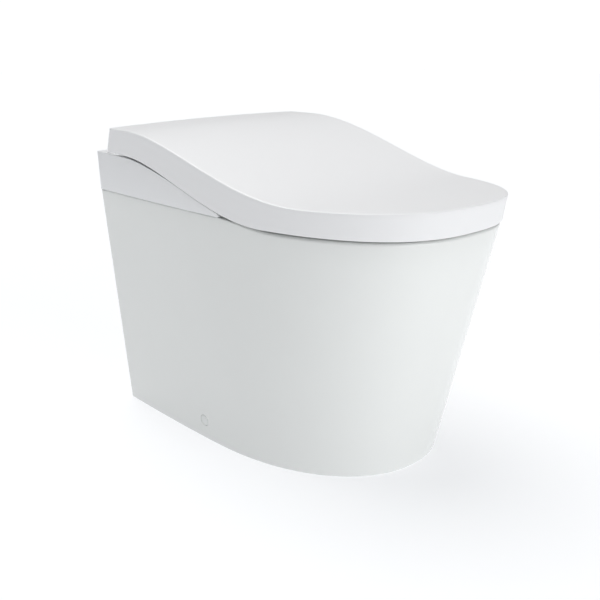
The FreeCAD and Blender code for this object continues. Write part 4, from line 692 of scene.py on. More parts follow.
@dataclass(frozen=True)
class Finish:
    """One material: a colour that drifts, its gloss and its relief.

    Scales are those of a noise over the object's metres, depths are in metres, and gloss_scale is
    how much finer the gloss varies than the colour."""

    name: str
    color: tuple[float, float, float]
    second: tuple[float, float, float]
    roughness: float
    metallic: float = 0.0
    coat: float = 0.0
    coat_roughness: float = 0.05
    tone_scale: float = 6.0
    tone_amount: float = 0.6
    wave_scale: float = 12.0
    wave_depth: float = 0.0
    grain_scale: float = 900.0
    grain_depth: float = 0.0
    gloss_spread: float = 0.04
    gloss_scale: float = 3.0
    least_roughness: float = 0.02

    def make(self) -> bpy.types.Material:
        """Builds the material.

        Returns:
            The material, made once.
        """
        if self.name in bpy.data.materials:
            return bpy.data.materials[self.name]
        material = bpy.data.materials.new(self.name)
        material.use_nodes = True
        tree = material.node_tree
        shader = tree.nodes["Principled BSDF"]
        shader.inputs["Metallic"].default_value = self.metallic
        shader.inputs["Coat Weight"].default_value = self.coat
        shader.inputs["Coat Roughness"].default_value = self.coat_roughness
        self._color(tree, shader)
        self._gloss(tree, shader)
        self._relief(tree, shader)
        material.diffuse_color = (*self.color, 1.0)
        return material

    def _color(self, tree: bpy.types.NodeTree, shader: bpy.types.Node) -> None:
        """Colour from the shared tone group.

        Args:
            tree: the material's nodes.
            shader: its shader.
        """
        tone = tree.nodes.new("ShaderNodeGroup")
        tone.node_tree = GROUPS.tone()
        for label, value in (("Color", (*self.color, 1.0)), ("Second", (*self.second, 1.0)),
                             ("Scale", self.tone_scale), ("Amount", self.tone_amount)):
            tone.inputs[label].default_value = value
        tree.links.new(tone.outputs["Color"], shader.inputs["Base Color"])

    def _gloss(self, tree: bpy.types.NodeTree, shader: bpy.types.Node) -> None:
        """Roughness that varies a little around its value, from a noise over the surface.

        Args:
            tree: the material's nodes.
            shader: its shader.
        """
        place = tree.nodes.new("ShaderNodeTexCoord")
        noise = tree.nodes.new("ShaderNodeTexNoise")
        noise.inputs["Scale"].default_value = self.tone_scale * self.gloss_scale
        spread = tree.nodes.new("ShaderNodeMapRange")
        low, high = self.roughness - self.gloss_spread, self.roughness + self.gloss_spread
        spread.inputs["To Min"].default_value = max(self.least_roughness, low)
        spread.inputs["To Max"].default_value = high
        tree.links.new(place.outputs["Object"], noise.inputs["Vector"])
        tree.links.new(noise.outputs["Fac"], spread.inputs["Value"])
        tree.links.new(spread.outputs["Result"], shader.inputs["Roughness"])

    def _relief(self, tree: bpy.types.NodeTree, shader: bpy.types.Node) -> None:
        """Relief from the shared grain group, where the finish has any.

        Args:
            tree: the material's nodes.
            shader: its shader.
        """
        if not (self.wave_depth or self.grain_depth):
            return
        grain = tree.nodes.new("ShaderNodeGroup")
        grain.node_tree = GROUPS.grain()
        for label, value in (("Wave Scale", self.wave_scale), ("Wave Depth", self.wave_depth),
                             ("Grain Scale", self.grain_scale), ("Grain Depth", self.grain_depth)):
            grain.inputs[label].default_value = value
        tree.links.new(grain.outputs["Normal"], shader.inputs["Normal"])


FINISHES: dict[str, Finish] = {
    "ceramic": Finish("ceramic_glaze", (0.85, 0.868, 0.855), (0.825, 0.843, 0.83), 0.18, coat=0.35,
                      tone_scale=4, wave_scale=26, wave_depth=0.00025, grain_scale=420,
                      grain_depth=0.000006),
    "cover_white": Finish("cover_white", (0.835, 0.845, 0.86), (0.81, 0.82, 0.835), 0.34,
                          grain_scale=1500, grain_depth=0.000012),
    "lid_white": Finish("lid_white", (0.85, 0.857, 0.868), (0.83, 0.837, 0.848), 0.28, coat=0.15,
                        coat_roughness=0.2, grain_scale=1500, grain_depth=0.00001),
    "seat_white": Finish("seat_white", (0.86, 0.862, 0.865), (0.84, 0.842, 0.845), 0.22, coat=0.3,
                         grain_scale=1500, grain_depth=0.000006),
    "inner_white": Finish("inner_white", (0.70, 0.70, 0.69), (0.64, 0.64, 0.63), 0.5,
                          grain_scale=1100, grain_depth=0.00003),
    "grey_plastic": Finish("grey_plastic", (0.20, 0.205, 0.215), (0.17, 0.175, 0.185), 0.45,
                           grain_scale=1100, grain_depth=0.00003),
    "black_plastic": Finish("black_plastic", (0.018, 0.018, 0.02), (0.03, 0.03, 0.032), 0.45,
                            grain_scale=1100, grain_depth=0.00003),
    "rubber_grey": Finish("rubber_grey", (0.17, 0.17, 0.175), (0.14, 0.14, 0.145), 0.75,
                          grain_scale=800, grain_depth=0.00005),
    "rubber_black": Finish("rubber_black", (0.018, 0.018, 0.018), (0.035, 0.034, 0.033), 0.7,
                           grain_scale=800, grain_depth=0.00005),
    "steel": Finish("turned_steel", (0.55, 0.55, 0.56), (0.45, 0.45, 0.46), 0.28, metallic=1.0,
                    grain_scale=1600, grain_depth=0.00002, gloss_spread=0.1),
    "zinc_steel": Finish("zinc_steel", (0.52, 0.53, 0.55), (0.38, 0.39, 0.42), 0.38, metallic=0.9,
                         tone_scale=40, tone_amount=0.9, grain_scale=500, grain_depth=0.00003,
                         gloss_spread=0.12),
    "brass": Finish("cast_brass", (0.62, 0.45, 0.19), (0.48, 0.33, 0.13), 0.3, metallic=1.0,
                    tone_scale=30, grain_scale=900, grain_depth=0.00004, gloss_spread=0.1),
    "motor_steel": Finish("motor_steel", (0.42, 0.42, 0.44), (0.34, 0.34, 0.36), 0.36, metallic=1.0,
                          grain_scale=1800, grain_depth=0.00002, gloss_spread=0.08),
    "board_green": Finish("board_green", (0.02, 0.13, 0.05), (0.03, 0.20, 0.08), 0.35, coat=0.4,
                          tone_scale=160, tone_amount=1.0, grain_scale=2200, grain_depth=0.00004),
    "lens_black": Finish("lens_black", (0.008, 0.008, 0.012), (0.012, 0.01, 0.02), 0.06, coat=1.0),
    "light_diffuser": Finish("light_diffuser", (0.82, 0.85, 0.88), (0.78, 0.81, 0.85), 0.4),
    "heating_cord": Finish("heating_cord", (0.62, 0.62, 0.64), (0.5, 0.5, 0.52), 0.35, metallic=1.0,
                           grain_scale=1500, grain_depth=0.00004, gloss_spread=0.1),
    "copper_like": Finish("heater_copper", (0.55, 0.26, 0.15), (0.40, 0.18, 0.10), 0.32,
                          metallic=1.0, tone_scale=60, grain_scale=1500, grain_depth=0.00003,
                          gloss_spread=0.1),
    "wand_white": Finish("wand_white", (0.78, 0.79, 0.80), (0.74, 0.75, 0.76), 0.18, coat=0.5,
                         grain_scale=1500, grain_depth=0.000006),
    "tank_resin": Finish("tank_resin", (0.52, 0.50, 0.43), (0.46, 0.44, 0.37), 0.5,
                         grain_scale=700, grain_depth=0.00006),
    # Painted shade: the screw caps are a little darker than the glaze around them, standing for the
    # shade their flatter faces take.
    "side_screw_caps": Finish("cap_white_painted_shade", (0.83, 0.85, 0.84), (0.81, 0.83, 0.82), 0.34,
                              grain_scale=1500, grain_depth=0.000012),
    "carbon": Finish("carbon_block", (0.012, 0.012, 0.012), (0.03, 0.03, 0.03), 0.85,
                     tone_scale=300, grain_scale=900, grain_depth=0.0002),
}


def finish_of(node: str) -> Finish:
    """The finish of a node: its own where it has one, else its slot's."""
    return FINISHES[node] if node in FINISHES else FINISHES[slot_of(node)]


def slot_of(node: str) -> str:
    """The record's material slot of a node.

    Args:
        node: the frame node.
    Returns:
        The slot's name.
    """
    for part in frame["record"]["subparts"]:
        if part["node"] == node:
            return part["material_slot"]
    raise KeyError(node)


def body_of(node: str) -> str:
    """The body that a node is on.

    Args:
        node: the frame node.
    Returns:
        The body's name.
    """
    for body, nodes in frame["record"]["behaviour"]["bodies"].items():
        if node in nodes:
            return body
    raise KeyError(node)


def place(obj: bpy.types.Object, *nodes: str) -> bpy.types.Object:
    """Gives a new piece its node's body and finish, taken from the node or its slot, and lets it
    stand for the node.

    Args:
        obj: the piece.
        nodes: the frame nodes that it stands for.
    Returns:
        The piece.
    """
    obj.data.materials.clear()
    obj.data.materials.append(finish_of(nodes[0]).make())
    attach(obj, body_of(nodes[0]))
    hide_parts(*nodes)
    LOG.info("%s stands for %s, %d faces", obj.name, ", ".join(nodes), len(obj.data.polygons))
    return obj


# ======== lid ========

@dataclass
class Lid:
    """S-shaped lid: an outer shell with a side band, open at the back.

    back_top is Y and Z of the back edge's top. The levels are lowest, highest and count."""

    wall: float = 0.003
    top_edge: float = 0.0022
    low_edge: float = 0.0009
    inner_edge: float = 0.002
    back_top: tuple[float, float] = (0.2565, 0.4885)
    back_low_y: float = 0.273
    back_span: float = 0.0398
    levels: tuple[float, float, int] = (0.365, 0.495, 14)
    level_margin: float = 0.001
    rounds: int = 4
    rows_in_fillet: int = 6
    rows_in_wall: int = 6
    rows_in_low_edge: int = 4
    across: int = 28
    crease: float = 50.0

    def back_y(self, z: float) -> float:
        """The lid's back edge leans: it lies further back the lower it is."""
        top_y, top_z = self.back_top
        return top_y + (self.back_low_y - top_y) * (top_z - z) / self.back_span

    def outline(self, drop: float, inset: float, crest: Height) -> Points:
        """Line around the lid's wall at a drop below a height that varies over the plan.

        The height and the outline depend on each other, so the outline is worked out at a few
        levels and read off between them by linear interpolation, in a few rounds.

        Args:
            drop: distance under the height.
            inset: distance inside the outer wall.
            crest: the height as a function of x and y.
        Returns:
            Points as rows of x, y, z.
        """
        levels = np.linspace(*self.levels)
        fan = np.stack([body_plan(float(z), inset).open_outline(self.back_y(float(z)))
                        for z in levels])
        plan = fan[len(levels) // 2]
        index = np.arange(len(plan))
        last = len(levels) - 1 - self.level_margin
        for _ in range(self.rounds):
            z = crest(plan[:, 0], plan[:, 1]) - drop
            share = np.clip((z - levels[0]) / (levels[1] - levels[0]), 0, last)
            k = share.astype(int)
            t = (share - k)[:, None]
            plan = fan[k, index] * (1 - t) + fan[k + 1, index] * t
        return np.column_stack([plan, z])

    def wall_rows(self, inset: float, top: Height, low: Height, edge: float, sign: int) -> Points:
        """Rows of one side of the wall: rounded top edge, flat wall, rounded lower edge.

        The top edge is a quarter circle: inset r(1 - sin a), drop r(1 - cos a).

        Args:
            inset: distance inside the outer wall.
            top: height that the top edge follows.
            low: height that the lower edge follows.
            edge: radius of the top edge.
            sign: 1 for the outer side, -1 for the inner side, whose lower edge turns the other way.
        Returns:
            Rows of points.
        """
        rows = []
        for a in np.linspace(0, math.pi / 2, self.rows_in_fillet):
            rows.append(self.outline(edge * (1 - math.cos(a)), inset + edge * (1 - math.sin(a)),
                                     top))
        start, end = rows[-1], self.outline(-self.low_edge, inset, low)
        rows += [start * (1 - t) + end * t for t in shares(self.rows_in_wall)]
        for b in quarter(self.rows_in_low_edge):
            rows.append(self.outline(-self.low_edge * (1 - math.sin(b)),
                                     inset + sign * self.low_edge * (1 - math.cos(b)), low))
        return np.stack(rows)

    def cap(self, edge_row: Points, height: Height) -> Points:
        """Sheet between the left and right halves of a row: straight across X at each station.

        Args:
            edge_row: the row that bounds the sheet.
            height: its height as a function of x and y.
        Returns:
            Grid of points.
        """
        middle = len(edge_row) // 2
        right, left = edge_row[:middle + 1], edge_row[::-1][:middle + 1]
        share = np.linspace(0, 1, self.across + 1)[None, :, None]
        share = 0.5 - 0.5 * np.cos(math.pi * share)
        sheet = right[:, None] * (1 - share) + left[:, None] * share
        sheet[..., 2] = height(sheet[..., 0], sheet[..., 1])
        sheet[:, 0], sheet[:, -1] = right, left
        return sheet

    def shell(self) -> bpy.types.Object:
        """The outer shell as one closed surface.

        Returns:
            The shell.
        """
        def low(x: Points, y: Points) -> Points:
            """Lower edge of the band."""
            return BAND_LOW.at(y)

        def under(x: Points, y: Points) -> Points:
            """Underside of the shell."""
            return lid_crest(x, y) - self.wall

        outer = self.wall_rows(0.0, lid_crest, low, self.top_edge, 1)
        inner = self.wall_rows(self.wall, under, low, self.inner_edge, -1)
        top, bottom = self.cap(outer[0], lid_crest), self.cap(inner[0], under)
        grids = [outer, inner, np.stack([outer[-1], inner[-1]]), top, bottom,
                 np.stack([top[0], bottom[0]])]
        grids += [np.stack([outer[:, end], inner[:, end]]) for end in (0, -1)]
        return smooth(object_from_grids("lid_shell", grids), self.crease)

    def build(self) -> None:
        """Makes the shell and puts it in its node's place."""
        place(self.shell(), "lid_outer_shell")


# ======== pedestal ========

@dataclass(frozen=True)
class SectionRows:
    """How many rows of points each stretch of the casting's section has, from the bowl's
    underside round the foot and over the rim to the bowl's floor."""

    under_round: int = 6
    under_bowl: int = 15
    under_deck: int = 6
    inside: int = 5
    foot_inside: int = 4
    foot_outside: int = 5
    outside: int = 10
    rim_edge: int = 6
    rim: int = 6
    lip: int = 6
    bowl: int = 33
    floor_round: int = 7
    floor: int = 5


@dataclass
class Pedestal:
    """Ceramic casting: leaning skirt, rim, bowl, trapway and the room for the works.

    One of bowl_levels is height, middle along Y, half width and half length. One of screw_bores
    is depth and radius. The levels of the bowl's room are lowest, highest and count."""

    height: float = 0.3838
    wall: float = 0.012
    deck: float = 0.018
    deck_inset: float = 0.04
    foot: Plan = Plan(0.1699, 0.1528, 0.2497, 2.22, 0.033)
    foot_edge: float = 0.003
    rim_inset: float = 0.001
    rim_front_inset: float = 0.0016
    rim_edge_front: float = 0.0045
    rim_edge_back: float = 0.0016
    rim_probe: float = 0.01
    rounds: int = 3
    lip: float = 0.009
    lip_height: float = 0.375
    bowl_wall: float = 0.011
    bowl_power: float = 2.3
    bowl_middle: float = -0.106
    bowl_degree: int = 4
    bowl_levels: tuple[tuple[float, float, float, float], ...] = (
        (0.3858, -0.106, 0.119, 0.153), (0.340, -0.106, 0.116, 0.149),
        (0.280, -0.104, 0.100, 0.132), (0.215, -0.092, 0.074, 0.103),
        (0.160, -0.074, 0.048, 0.070), (0.118, -0.062, 0.034, 0.046))
    bowl_room_levels: tuple[float, float, int] = (0.112, 0.400, 24)
    bowl_room_extra: float = 0.004
    floor_z: float = 0.118
    floor_y: float = -0.062
    floor_round: float = 0.012
    floor_shrink: float = 0.35
    under_round: float = 0.014
    under_share: float = 0.55
    rows: SectionRows = SectionRows()
    trap_corners: tuple[tuple[float, float, float], ...] = (
        (0, -0.062, 0.150), (0, 0.075, 0.246), (0, 0.175, 0.238), (0, 0.175, 0.006))
    trap_bend: float = 0.048
    trap_outside: float = 0.036
    trap_inside: float = 0.027
    trap_end: Bore = Bore(0, 0.175, 0.027, 0.03, 0.06)
    horn: Bore = Bore(0, 0.175, 0.044, 0.006, 0.048)
    horn_bore: Bore = Bore(0, 0.175, 0.036, -0.002, 0.041)
    well: Box = Box((-0.122, -0.034, 0.326), (0.122, 0.138, 0.3788), 0.014)
    well_room: Box = Box((-0.112, -0.020, 0.336), (0.112, 0.128, 0.400), 0.012)
    window: Box = Box((-0.128, 0.280, -0.01), (0.128, 0.330, 0.330))
    supply: Bore = Bore(-0.112, 0.284, 0.015, 0.35, 0.40)
    bolts: tuple[Bore, ...] = tuple(Bore(x, 0.110, 0.0045, 0.35, 0.40) for x in (-0.150, 0.150))
    screw_y: float = 0.078
    screw_z: float = 0.033
    screw_start: float = 0.005
    screw_bores: tuple[tuple[float, float], ...] = ((0.0035, 0.0096), (0.035, 0.0036))
    crease: float = 34.0
    angle: Points = field(init=False, repr=False)

    def __post_init__(self) -> None:
        """Works out the angle of each point of the loops, seen from the bowl's middle."""
        rim = self.rim_loop(0.0)
        self.angle = np.arctan2(rim[:, 1] - self.bowl_middle, rim[:, 0])

    def rim_loop(self, inset: float) -> Points:
        """Outline of the skirt's upper end, a little inside the housing's."""
        return body_plan(self.height, inset + self.rim_inset, inset, self.rim_front_inset).loop()

    def skirt_line(self, z: Points | float, inset: float) -> Points:
        """Outline of the skirt at given heights: a straight mix of foot and rim outlines.

        Args:
            z: one height for all points of the loop, or one for each.
            inset: distance inside the outside.
        Returns:
            Points as rows of x, y, z.
        """
        foot, rim = self.foot.drawn_in(inset).loop(), self.rim_loop(inset)
        z = np.broadcast_to(z, (len(foot),))
        t = (z / self.height)[:, None]
        return np.column_stack([foot * (1 - t) + rim * t, z])

    def bowl_line(self, z: Points | float, extra: float, shrink: float = 1.0) -> Points:
        """Outline of the bowl at given heights, seen from its own middle.

        Half width, half length and middle follow fourth-power polynomials of the height. A point
        lies where the ray from the middle, at the angle of its rim point, meets the superellipse.

        Args:
            z: one height for all points of the loop, or one for each.
            extra: distance outside the bowl's inside.
            shrink: share of its full size.
        Returns:
            Points as rows of x, y, z.
        """
        z = np.broadcast_to(z, (len(self.angle),))
        table = np.array(self.bowl_levels)
        middle, half_width, half_length = (
            np.polyval(np.polyfit(table[:, 0], column, self.bowl_degree), z)
            for column in table[:, 1:].T)
        a, b = (half_width + extra) * shrink, (half_length + extra) * shrink
        c, s = np.abs(np.cos(self.angle)) / a, np.abs(np.sin(self.angle)) / b
        reach = (c ** self.bowl_power + s ** self.bowl_power) ** (-1 / self.bowl_power)
        return np.column_stack([reach * np.cos(self.angle), middle + reach * np.sin(self.angle), z])

    def rim_height(self, line: Points) -> Points:
        """Height of the rim over a line's points."""
        return RIM_TOP.at(line[:, 1])

    def follow(self, drop: float, inset: float) -> Points:
        """Line around the skirt at a drop below the rim, found in a few rounds.

        Args:
            drop: distance under the rim.
            inset: distance inside the outside.
        Returns:
            Points as rows of x, y, z.
        """
        line = self.skirt_line(self.height, inset)
        for _ in range(self.rounds):
            line = self.skirt_line(self.rim_height(line) - drop, inset)
        return line

    def between(self, first: Points, last: Points, steps: int) -> list[Points]:
        """Rows evenly spread between two rows, without the first."""
        return [first * (1 - t) + last * t for t in shares(steps)]

    def middle_row(self, z: float) -> Points:
        """Row whose points are all at the middle of the bowl's floor, at a height."""
        return np.tile((0.0, self.floor_y, z), (len(self.angle), 1))

    def casting(self) -> bpy.types.Object:
        """The casting's smooth body: its section's rows, from the bowl's underside to its floor.

        Returns:
            The body as one closed surface.
        """
        rows = [*self.underside_rows(), *self.foot_rows()]
        edge = self.edge_radius()
        rows += self.between(rows[-1], self.mixed_edge(edge, 0.0), self.rows.outside)
        rows += [self.mixed_edge(edge, k) for k in quarter(self.rows.rim_edge)]
        rows += self.between(rows[-1], self.lip_line(0.0), self.rows.rim)
        rows += [self.lip_line(k) for k in quarter(self.rows.lip)]
        rows += self.bowl_rows(rows[-1][:, 2])
        grid = np.stack(rows)
        return object_from_grids("pedestal", [np.concatenate([grid, grid[:, :1]], axis=1)])

    def underside_rows(self) -> list[Points]:
        """Rows under the bowl, under the deck and down the skirt's inside.

        Returns:
            The rows.
        """
        low = self.floor_z - self.bowl_wall
        rows = [self.middle_row(low)]
        for k in quarter(self.rows.under_round):
            rows.append(self.bowl_line(low + self.under_round * (1 - math.cos(k)), self.bowl_wall,
                                       self.under_share + (1 - self.under_share) * math.sin(k)))
        top = self.follow(self.deck, self.deck_inset)[:, 2]
        start = low + self.under_round
        for t in shares(self.rows.under_bowl):
            rows.append(self.bowl_line(start * (1 - t) + top * t, self.bowl_wall))
        rows += self.between(rows[-1], self.follow(self.deck, self.wall), self.rows.under_deck)
        rows += self.between(rows[-1], self.skirt_line(self.foot_edge, self.wall), self.rows.inside)
        return rows

    def foot_rows(self) -> list[Points]:
        """Rows round the foot's two rounded edges, which stand on the floor.

        Returns:
            The rows.
        """
        edge = self.foot_edge
        inside = [self.skirt_line(edge * (1 - math.sin(k)), self.wall - edge * (1 - math.cos(k)))
                  for k in quarter(self.rows.foot_inside)]
        outside = [self.skirt_line(edge * (1 - math.cos(k)), edge * (1 - math.sin(k)))
                   for k in quarter(self.rows.foot_outside)]
        return inside + outside

    def bowl_rows(self, start: Points) -> list[Points]:
        """Rows down the bowl's inside and over its floor to the middle.

        Args:
            start: heights at which the lip ends.
        Returns:
            The rows.
        """
        end = self.floor_z + self.floor_round
        rows = [self.bowl_line(start * (1 - t) + end * t, 0.0) for t in shares(self.rows.bowl)]
        for k in quarter(self.rows.floor_round):
            rows.append(self.bowl_line(self.floor_z + self.floor_round * (1 - math.sin(k)), 0.0,
                                       1 - self.floor_shrink * (1 - math.cos(k))))
        return rows + self.between(rows[-1], self.middle_row(self.floor_z), self.rows.floor)

    def edge_radius(self) -> Points:
        """Radius of the rim's outer edge: soft in front, crisp where the housing stands on it.

        Returns:
            One radius for each point of the loop.
        """
        y = self.follow(0.0, 0.0)[:, 1]
        share = (RIM_TOP.at(y) - RIM_TOP.front) / (RIM_TOP.back - RIM_TOP.front)
        return self.rim_edge_front * (1 - share) + self.rim_edge_back * share

    def mixed_edge(self, radius: Points, turn: float) -> Points:
        """Line on the rim's rounded outer edge: drop r(1 - sin a), inset r(1 - cos a).

        Args:
            radius: one radius for each point of the loop.
            turn: the angle a.
        Returns:
            Points as rows of x, y, z.
        """
        line, inside = self.follow(0.0, 0.0), self.follow(0.0, self.rim_probe)
        inwards = (inside - line) / self.rim_probe
        line = line + inwards * (radius * (1 - math.cos(turn)))[:, None]
        line[:, 2] = self.rim_height(line) - radius * (1 - math.sin(turn))
        return line

    def lip_line(self, turn: float) -> Points:
        """Line on the rounded lip between rim and bowl: a quarter circle turned into the bowl.

        Args:
            turn: angle of the quarter circle.
        Returns:
            Points as rows of x, y, z.
        """
        out = self.lip * (1 - math.sin(turn))
        line = self.bowl_line(self.lip_height, out)
        return self.bowl_line(self.rim_height(line) - self.lip * (1 - math.cos(turn)), out)

    def trap(self) -> Points:
        """The trapway's middle line."""
        return rounded_path(self.trap_corners, self.trap_bend)

    def bowl_room(self) -> bpy.types.Object:
        """Solid that fills the bowl and part of its wall, so that nothing shows through inside.

        Returns:
            The solid.
        """
        rows = [self.bowl_line(z, self.bowl_room_extra)
                for z in np.linspace(*self.bowl_room_levels)]
        low, high = (np.broadcast_to(row.mean(axis=0), row.shape) for row in (rows[0], rows[-1]))
        room = np.stack([low, *rows, high])
        return object_from_grids("bowl_room", [np.concatenate([room, room[:, :1]], axis=1)])

    def additions(self) -> list[bpy.types.Object]:
        """Trapway, outlet horn and well walls, trimmed inside the bowl's wall.

        Returns:
            The solids to add.
        """
        trap = tube("trap_outside", self.trap(), self.trap_outside)
        carve(trap, [self.bowl_room()], Cut.AWAY)
        well = carve(self.well.solid("well_outside"), [self.bowl_room()], Cut.AWAY)
        return [trap, self.horn.solid("horn"), well]

    def openings(self) -> list[bpy.types.Object]:
        """Everything that is cut out: trapway, well, back window, holes for supply, bolts, screws.

        Returns:
            The solids to cut away.
        """
        cutters = [tube("trap_bore", self.trap()[:-1], self.trap_inside),
                   self.horn_bore.solid("horn_bore"), self.trap_end.solid("trap_end"),
                   self.well_room.solid("well_room"), self.window.solid("window"),
                   self.supply.solid("supply")]
        cutters += [bolt.solid("bolt") for bolt in self.bolts]
        start = self.cap_x() + self.screw_start
        for sign in (-1, 1):
            for depth, radius in self.screw_bores:
                path = np.array([(sign * (start - (self.screw_start + depth) * t), self.screw_y,
                                  self.screw_z) for t in (0, 0.5, 1)])
                cutters.append(tube("screw", path, radius))
        return cutters

    def build(self) -> None:
        """Makes the casting, adds what joins it and cuts its openings."""
        body = self.casting()
        carve(body, self.additions(), Cut.WITH)
        carve(body, self.openings(), Cut.AWAY)
        place(smooth(body, self.crease), "ceramic_pedestal")

    def cap_x(self) -> float:
        """Half width of the skirt at the screw cap.

        Returns:
            The distance from the middle.
        """
        line = self.skirt_line(self.screw_z, 0.0)
        near = line[(line[:, 0] > 0) & (line[:, 1] > WIDEST_Y)]
        order = np.argsort(near[:, 1])
        return float(np.interp(self.screw_y, near[order, 1], near[order, 0]))


# ======== housing ========

@dataclass(frozen=True)
class Cheeks:
    """Ends of the housing beside the seat: how near their tops come to the lid and how they end.

    The gap under the lid's band is wide at the back and closes towards the front, and each cheek
    ends in a blunt nose that leaves a small three-cornered hole under the band."""

    top: Climb = Climb(0.3765, 0.4455, -0.092, 0.228)
    top_catch: float = 0.0005
    inner_x: float = 0.146
    back_y: float = 0.262
    gap: Climb = Climb(0.0005, 0.0032, 0.085, 0.172)
    tip_y: float = -0.0262
    nose_start: float = -0.003
    nose_length: float = 0.006
    nose_power: float = 2.5
    foot_z: float = 0.3841
    foot_catch: float = 0.0001
    seam: float = 0.0004

    def shape(self, obj: bpy.types.Object) -> None:
        """Moves the cheeks' tops and tips of a copy of the housing, and lifts its foot by the seam.

        With s from 0 to 1 towards the tip, a point moves to start - length * (1 - (1 - s)^2.5).

        Args:
            obj: the copy.
        """
        mesh = obj.data
        flat = np.empty(len(mesh.vertices) * 3)
        mesh.vertices.foreach_get("co", flat)
        x, y, z = flat.reshape(-1, 3).T.copy()
        cheek = np.abs(x) > self.inner_x
        on_top = cheek & (np.abs(z - self.top.at(y)) < self.top_catch) & (y < self.back_y)
        z = np.where(on_top, np.maximum(z, BAND_LOW.at(y) - self.gap.at(y)), z)
        s = np.clip((self.nose_start - y) / (self.nose_start - self.tip_y), 0.0, 1.0)
        nose = self.nose_start - self.nose_length * (1 - (1 - s) ** self.nose_power)
        y = np.where(cheek & (y < self.nose_start), nose, y)
        z = np.where(np.abs(z - self.foot_z) < self.foot_catch, z + self.seam, z)
        mesh.vertices.foreach_set("co", np.stack([x, y, z], axis=1).ravel())
        mesh.update()


# ======== carried-over pieces ========

@dataclass
class SoftenedPieces:
    """Pieces whose form is right in the frame and that only need rounded edges, with the width
    of the rounding for each."""

    widths: dict[str, float] = field(default_factory=lambda: {
        "unit_cover": 0.0007, "seat_top_shell": 0.0016, "seat_bottom_shell": 0.0006,
        "lid_inner_panel": 0.0006, "side_screw_caps": 0.0005, "dryer_flap": 0.0003,
        "wash_wand_nose": 0.0004, "bidet_wand_nose": 0.0004, "flush_button": 0.0004,
        "stop_button": 0.0004, "power_cord_gland": 0.0005, "flush_tank": 0.0015,
        "flush_pump": 0.0010, "unit_base_plate": 0.0005, "night_light": 0.0005,
        "seat_sensor": 0.0005, "hinge_pins": 0.0006, "lid_bumpers": 0.0006,
        "seat_bumpers": 0.0006, "outlet_seal_ring": 0.0010, "floor_brackets": 0.0006,
        "wand_cradle": 0.0004, "wash_wand_tube": 0.0002, "bidet_wand_tube": 0.0002})

    def build(self) -> None:
        """Makes a softened copy of each, with the housing's cheeks shaped first."""
        for node, width in self.widths.items():
            piece = node_copy(node, f"{node}_finished")
            if node == "unit_cover":
                Cheeks().shape(piece)
            place(edge_softened(piece, width), node)


def dress_frame_nodes() -> None:
    """Gives every frame node its finish, shown or not."""
    for node, obj in frame["nodes"].items():
        obj.data.materials.clear()
        obj.data.materials.append(finish_of(node).make())


# ======== studio ========

@dataclass(frozen=True)
class SoftSun:
    """Large soft light, so far off that it falls evenly on the floor.

    Its turn is in degrees from the front towards +X, its height in degrees above the floor and
    its softness in degrees across."""

    name: str
    turn: float
    height: float
    strength: float
    softness: float = 50.0

    def build(self) -> None:
        """Makes the light, which shines towards the origin."""
        data = bpy.data.lights.new(self.name, "SUN")
        data.energy = self.strength
        data.angle = math.radians(self.softness)
        lamp = new_object(self.name, data)
        a, e = math.radians(self.turn), math.radians(self.height)
        way = Vector((math.sin(a) * math.cos(e), -math.cos(a) * math.cos(e), math.sin(e)))
        lamp.rotation_euler = way.to_track_quat("Z", "Y").to_euler()


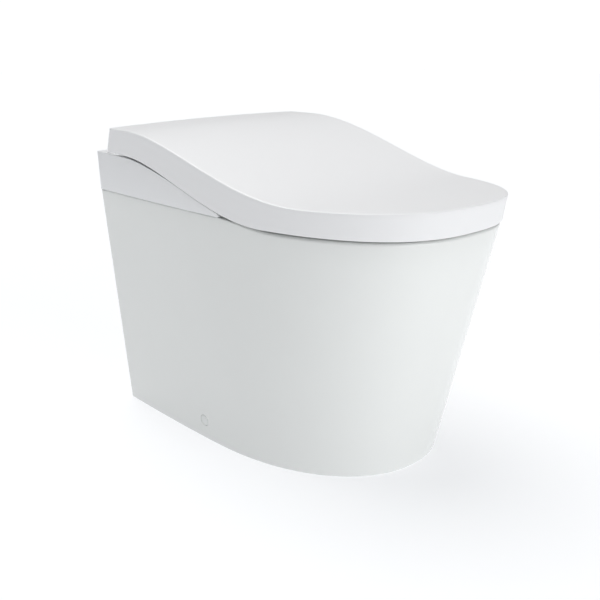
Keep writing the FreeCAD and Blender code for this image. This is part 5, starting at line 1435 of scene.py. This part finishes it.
@dataclass
class Studio:
    """Camera, lights, floor and backdrop.

    The camera is turned and dipped from looking straight to the back, and its lens and sensor are
    in millimetres. The tone is what the floor reflects, and the glow what it adds."""

    eye: tuple[float, float, float] = (-1.0191, -0.99405, 0.65058)
    turn: float = 44.82
    dip: float = 16.964
    lens: float = 54.85
    sensor: float = 36.0
    clip: tuple[float, float] = (0.01, 200.0)
    floor_half: float = 200.0
    floor_drop: float = 0.0002
    floor_tone: float = 0.28
    floor_glow: float = 0.73
    floor_roughness: float = 0.9
    floor_specular: float = 0.1
    dome_radius: float = 12.0
    dome_dip: float = 0.02
    dome_grid: tuple[int, int] = (49, 14)
    sky_strength: float = 0.085
    tint: tuple[float, float, float] = (0.982, 0.996, 1.018)
    suns: tuple[SoftSun, ...] = (SoftSun("front", -4.0, 8.0, 1.76),
                                 SoftSun("top", 180.0, 70.0, 2.80))

    def camera(self) -> None:
        """Camera at the photograph's place."""
        data = bpy.data.cameras.new("camera")
        data.lens = self.lens
        data.sensor_width = self.sensor
        data.clip_start, data.clip_end = self.clip
        camera = new_object("camera", data)
        camera.location = self.eye
        camera.rotation_euler = (math.radians(90 - self.dip), 0, -math.radians(self.turn))
        bpy.context.scene.camera = camera

    def material(self, name: str, values: dict[str, object]) -> bpy.types.Material:
        """A plain material of one colour.

        Args:
            name: the material's name.
            values: value of each of the shader's sockets that is set.
        Returns:
            The material.
        """
        material = bpy.data.materials.new(name)
        material.use_nodes = True
        shader = material.node_tree.nodes["Principled BSDF"]
        for label, value in values.items():
            shader.inputs[label].default_value = value
        return material

    def floor(self) -> None:
        """Plain pale floor that glows a little, a wide flat sheet just under the object."""
        s, z = self.floor_half, -self.floor_drop
        points = np.array([(-s, -s, z), (s, -s, z), (s, s, z), (-s, s, z)])
        mesh = bpy.data.meshes.new("floor")
        mesh.from_pydata(points.tolist(), [], [[0, 1, 2, 3]])
        mesh.materials.append(self.material("floor", {
            "Base Color": (*(self.floor_tone,) * 3, 1.0), "Roughness": self.floor_roughness,
            "Specular IOR Level": self.floor_specular, "Emission Color": (*self.tint, 1.0),
            "Emission Strength": self.floor_glow}))
        new_object("floor", mesh)

    def sky(self) -> None:
        """Even dim sky, the soft light from all around."""
        world = bpy.data.worlds.new("studio")
        world.use_nodes = True
        back = world.node_tree.nodes["Background"]
        back.inputs["Color"].default_value = (*self.tint, 1.0)
        back.inputs["Strength"].default_value = self.sky_strength
        bpy.context.scene.world = world

    def backdrop(self) -> None:
        """White dome far around the object. Only the camera sees it, so it adds no light."""
        across, up = self.dome_grid
        turn, rise = np.meshgrid(np.linspace(0, 2 * math.pi, across),
                                 np.linspace(-self.dome_dip, math.pi / 2, up))
        dome = object_from_grids("backdrop", [self.dome_radius * np.stack(
            [np.cos(rise) * np.cos(turn), np.cos(rise) * np.sin(turn), np.sin(rise)], axis=-1)])
        dome.data.materials.append(self.material("backdrop", {
            "Base Color": (0.0, 0.0, 0.0, 1.0), "Emission Color": (1.0, 1.0, 1.0, 1.0),
            "Emission Strength": 1.0}))
        dome.visible_diffuse = False
        dome.visible_glossy = False
        dome.visible_transmission = False
        dome.visible_shadow = False

    def build(self) -> None:
        """Sets the stage."""
        self.camera()
        self.floor()
        self.sky()
        self.backdrop()
        for sun in self.suns:
            sun.build()
        bpy.context.scene.view_settings.view_transform = "Standard"
        LOG.info("studio set")


# ======== all of it ========

def main() -> None:
    """Builds the whole scene."""
    logging.basicConfig(level=logging.INFO, format="%(message)s")
    Studio().build()
    dress_frame_nodes()
    Lid().build()
    Pedestal().build()
    SoftenedPieces().build()


if __name__ == "__main__":
    main()
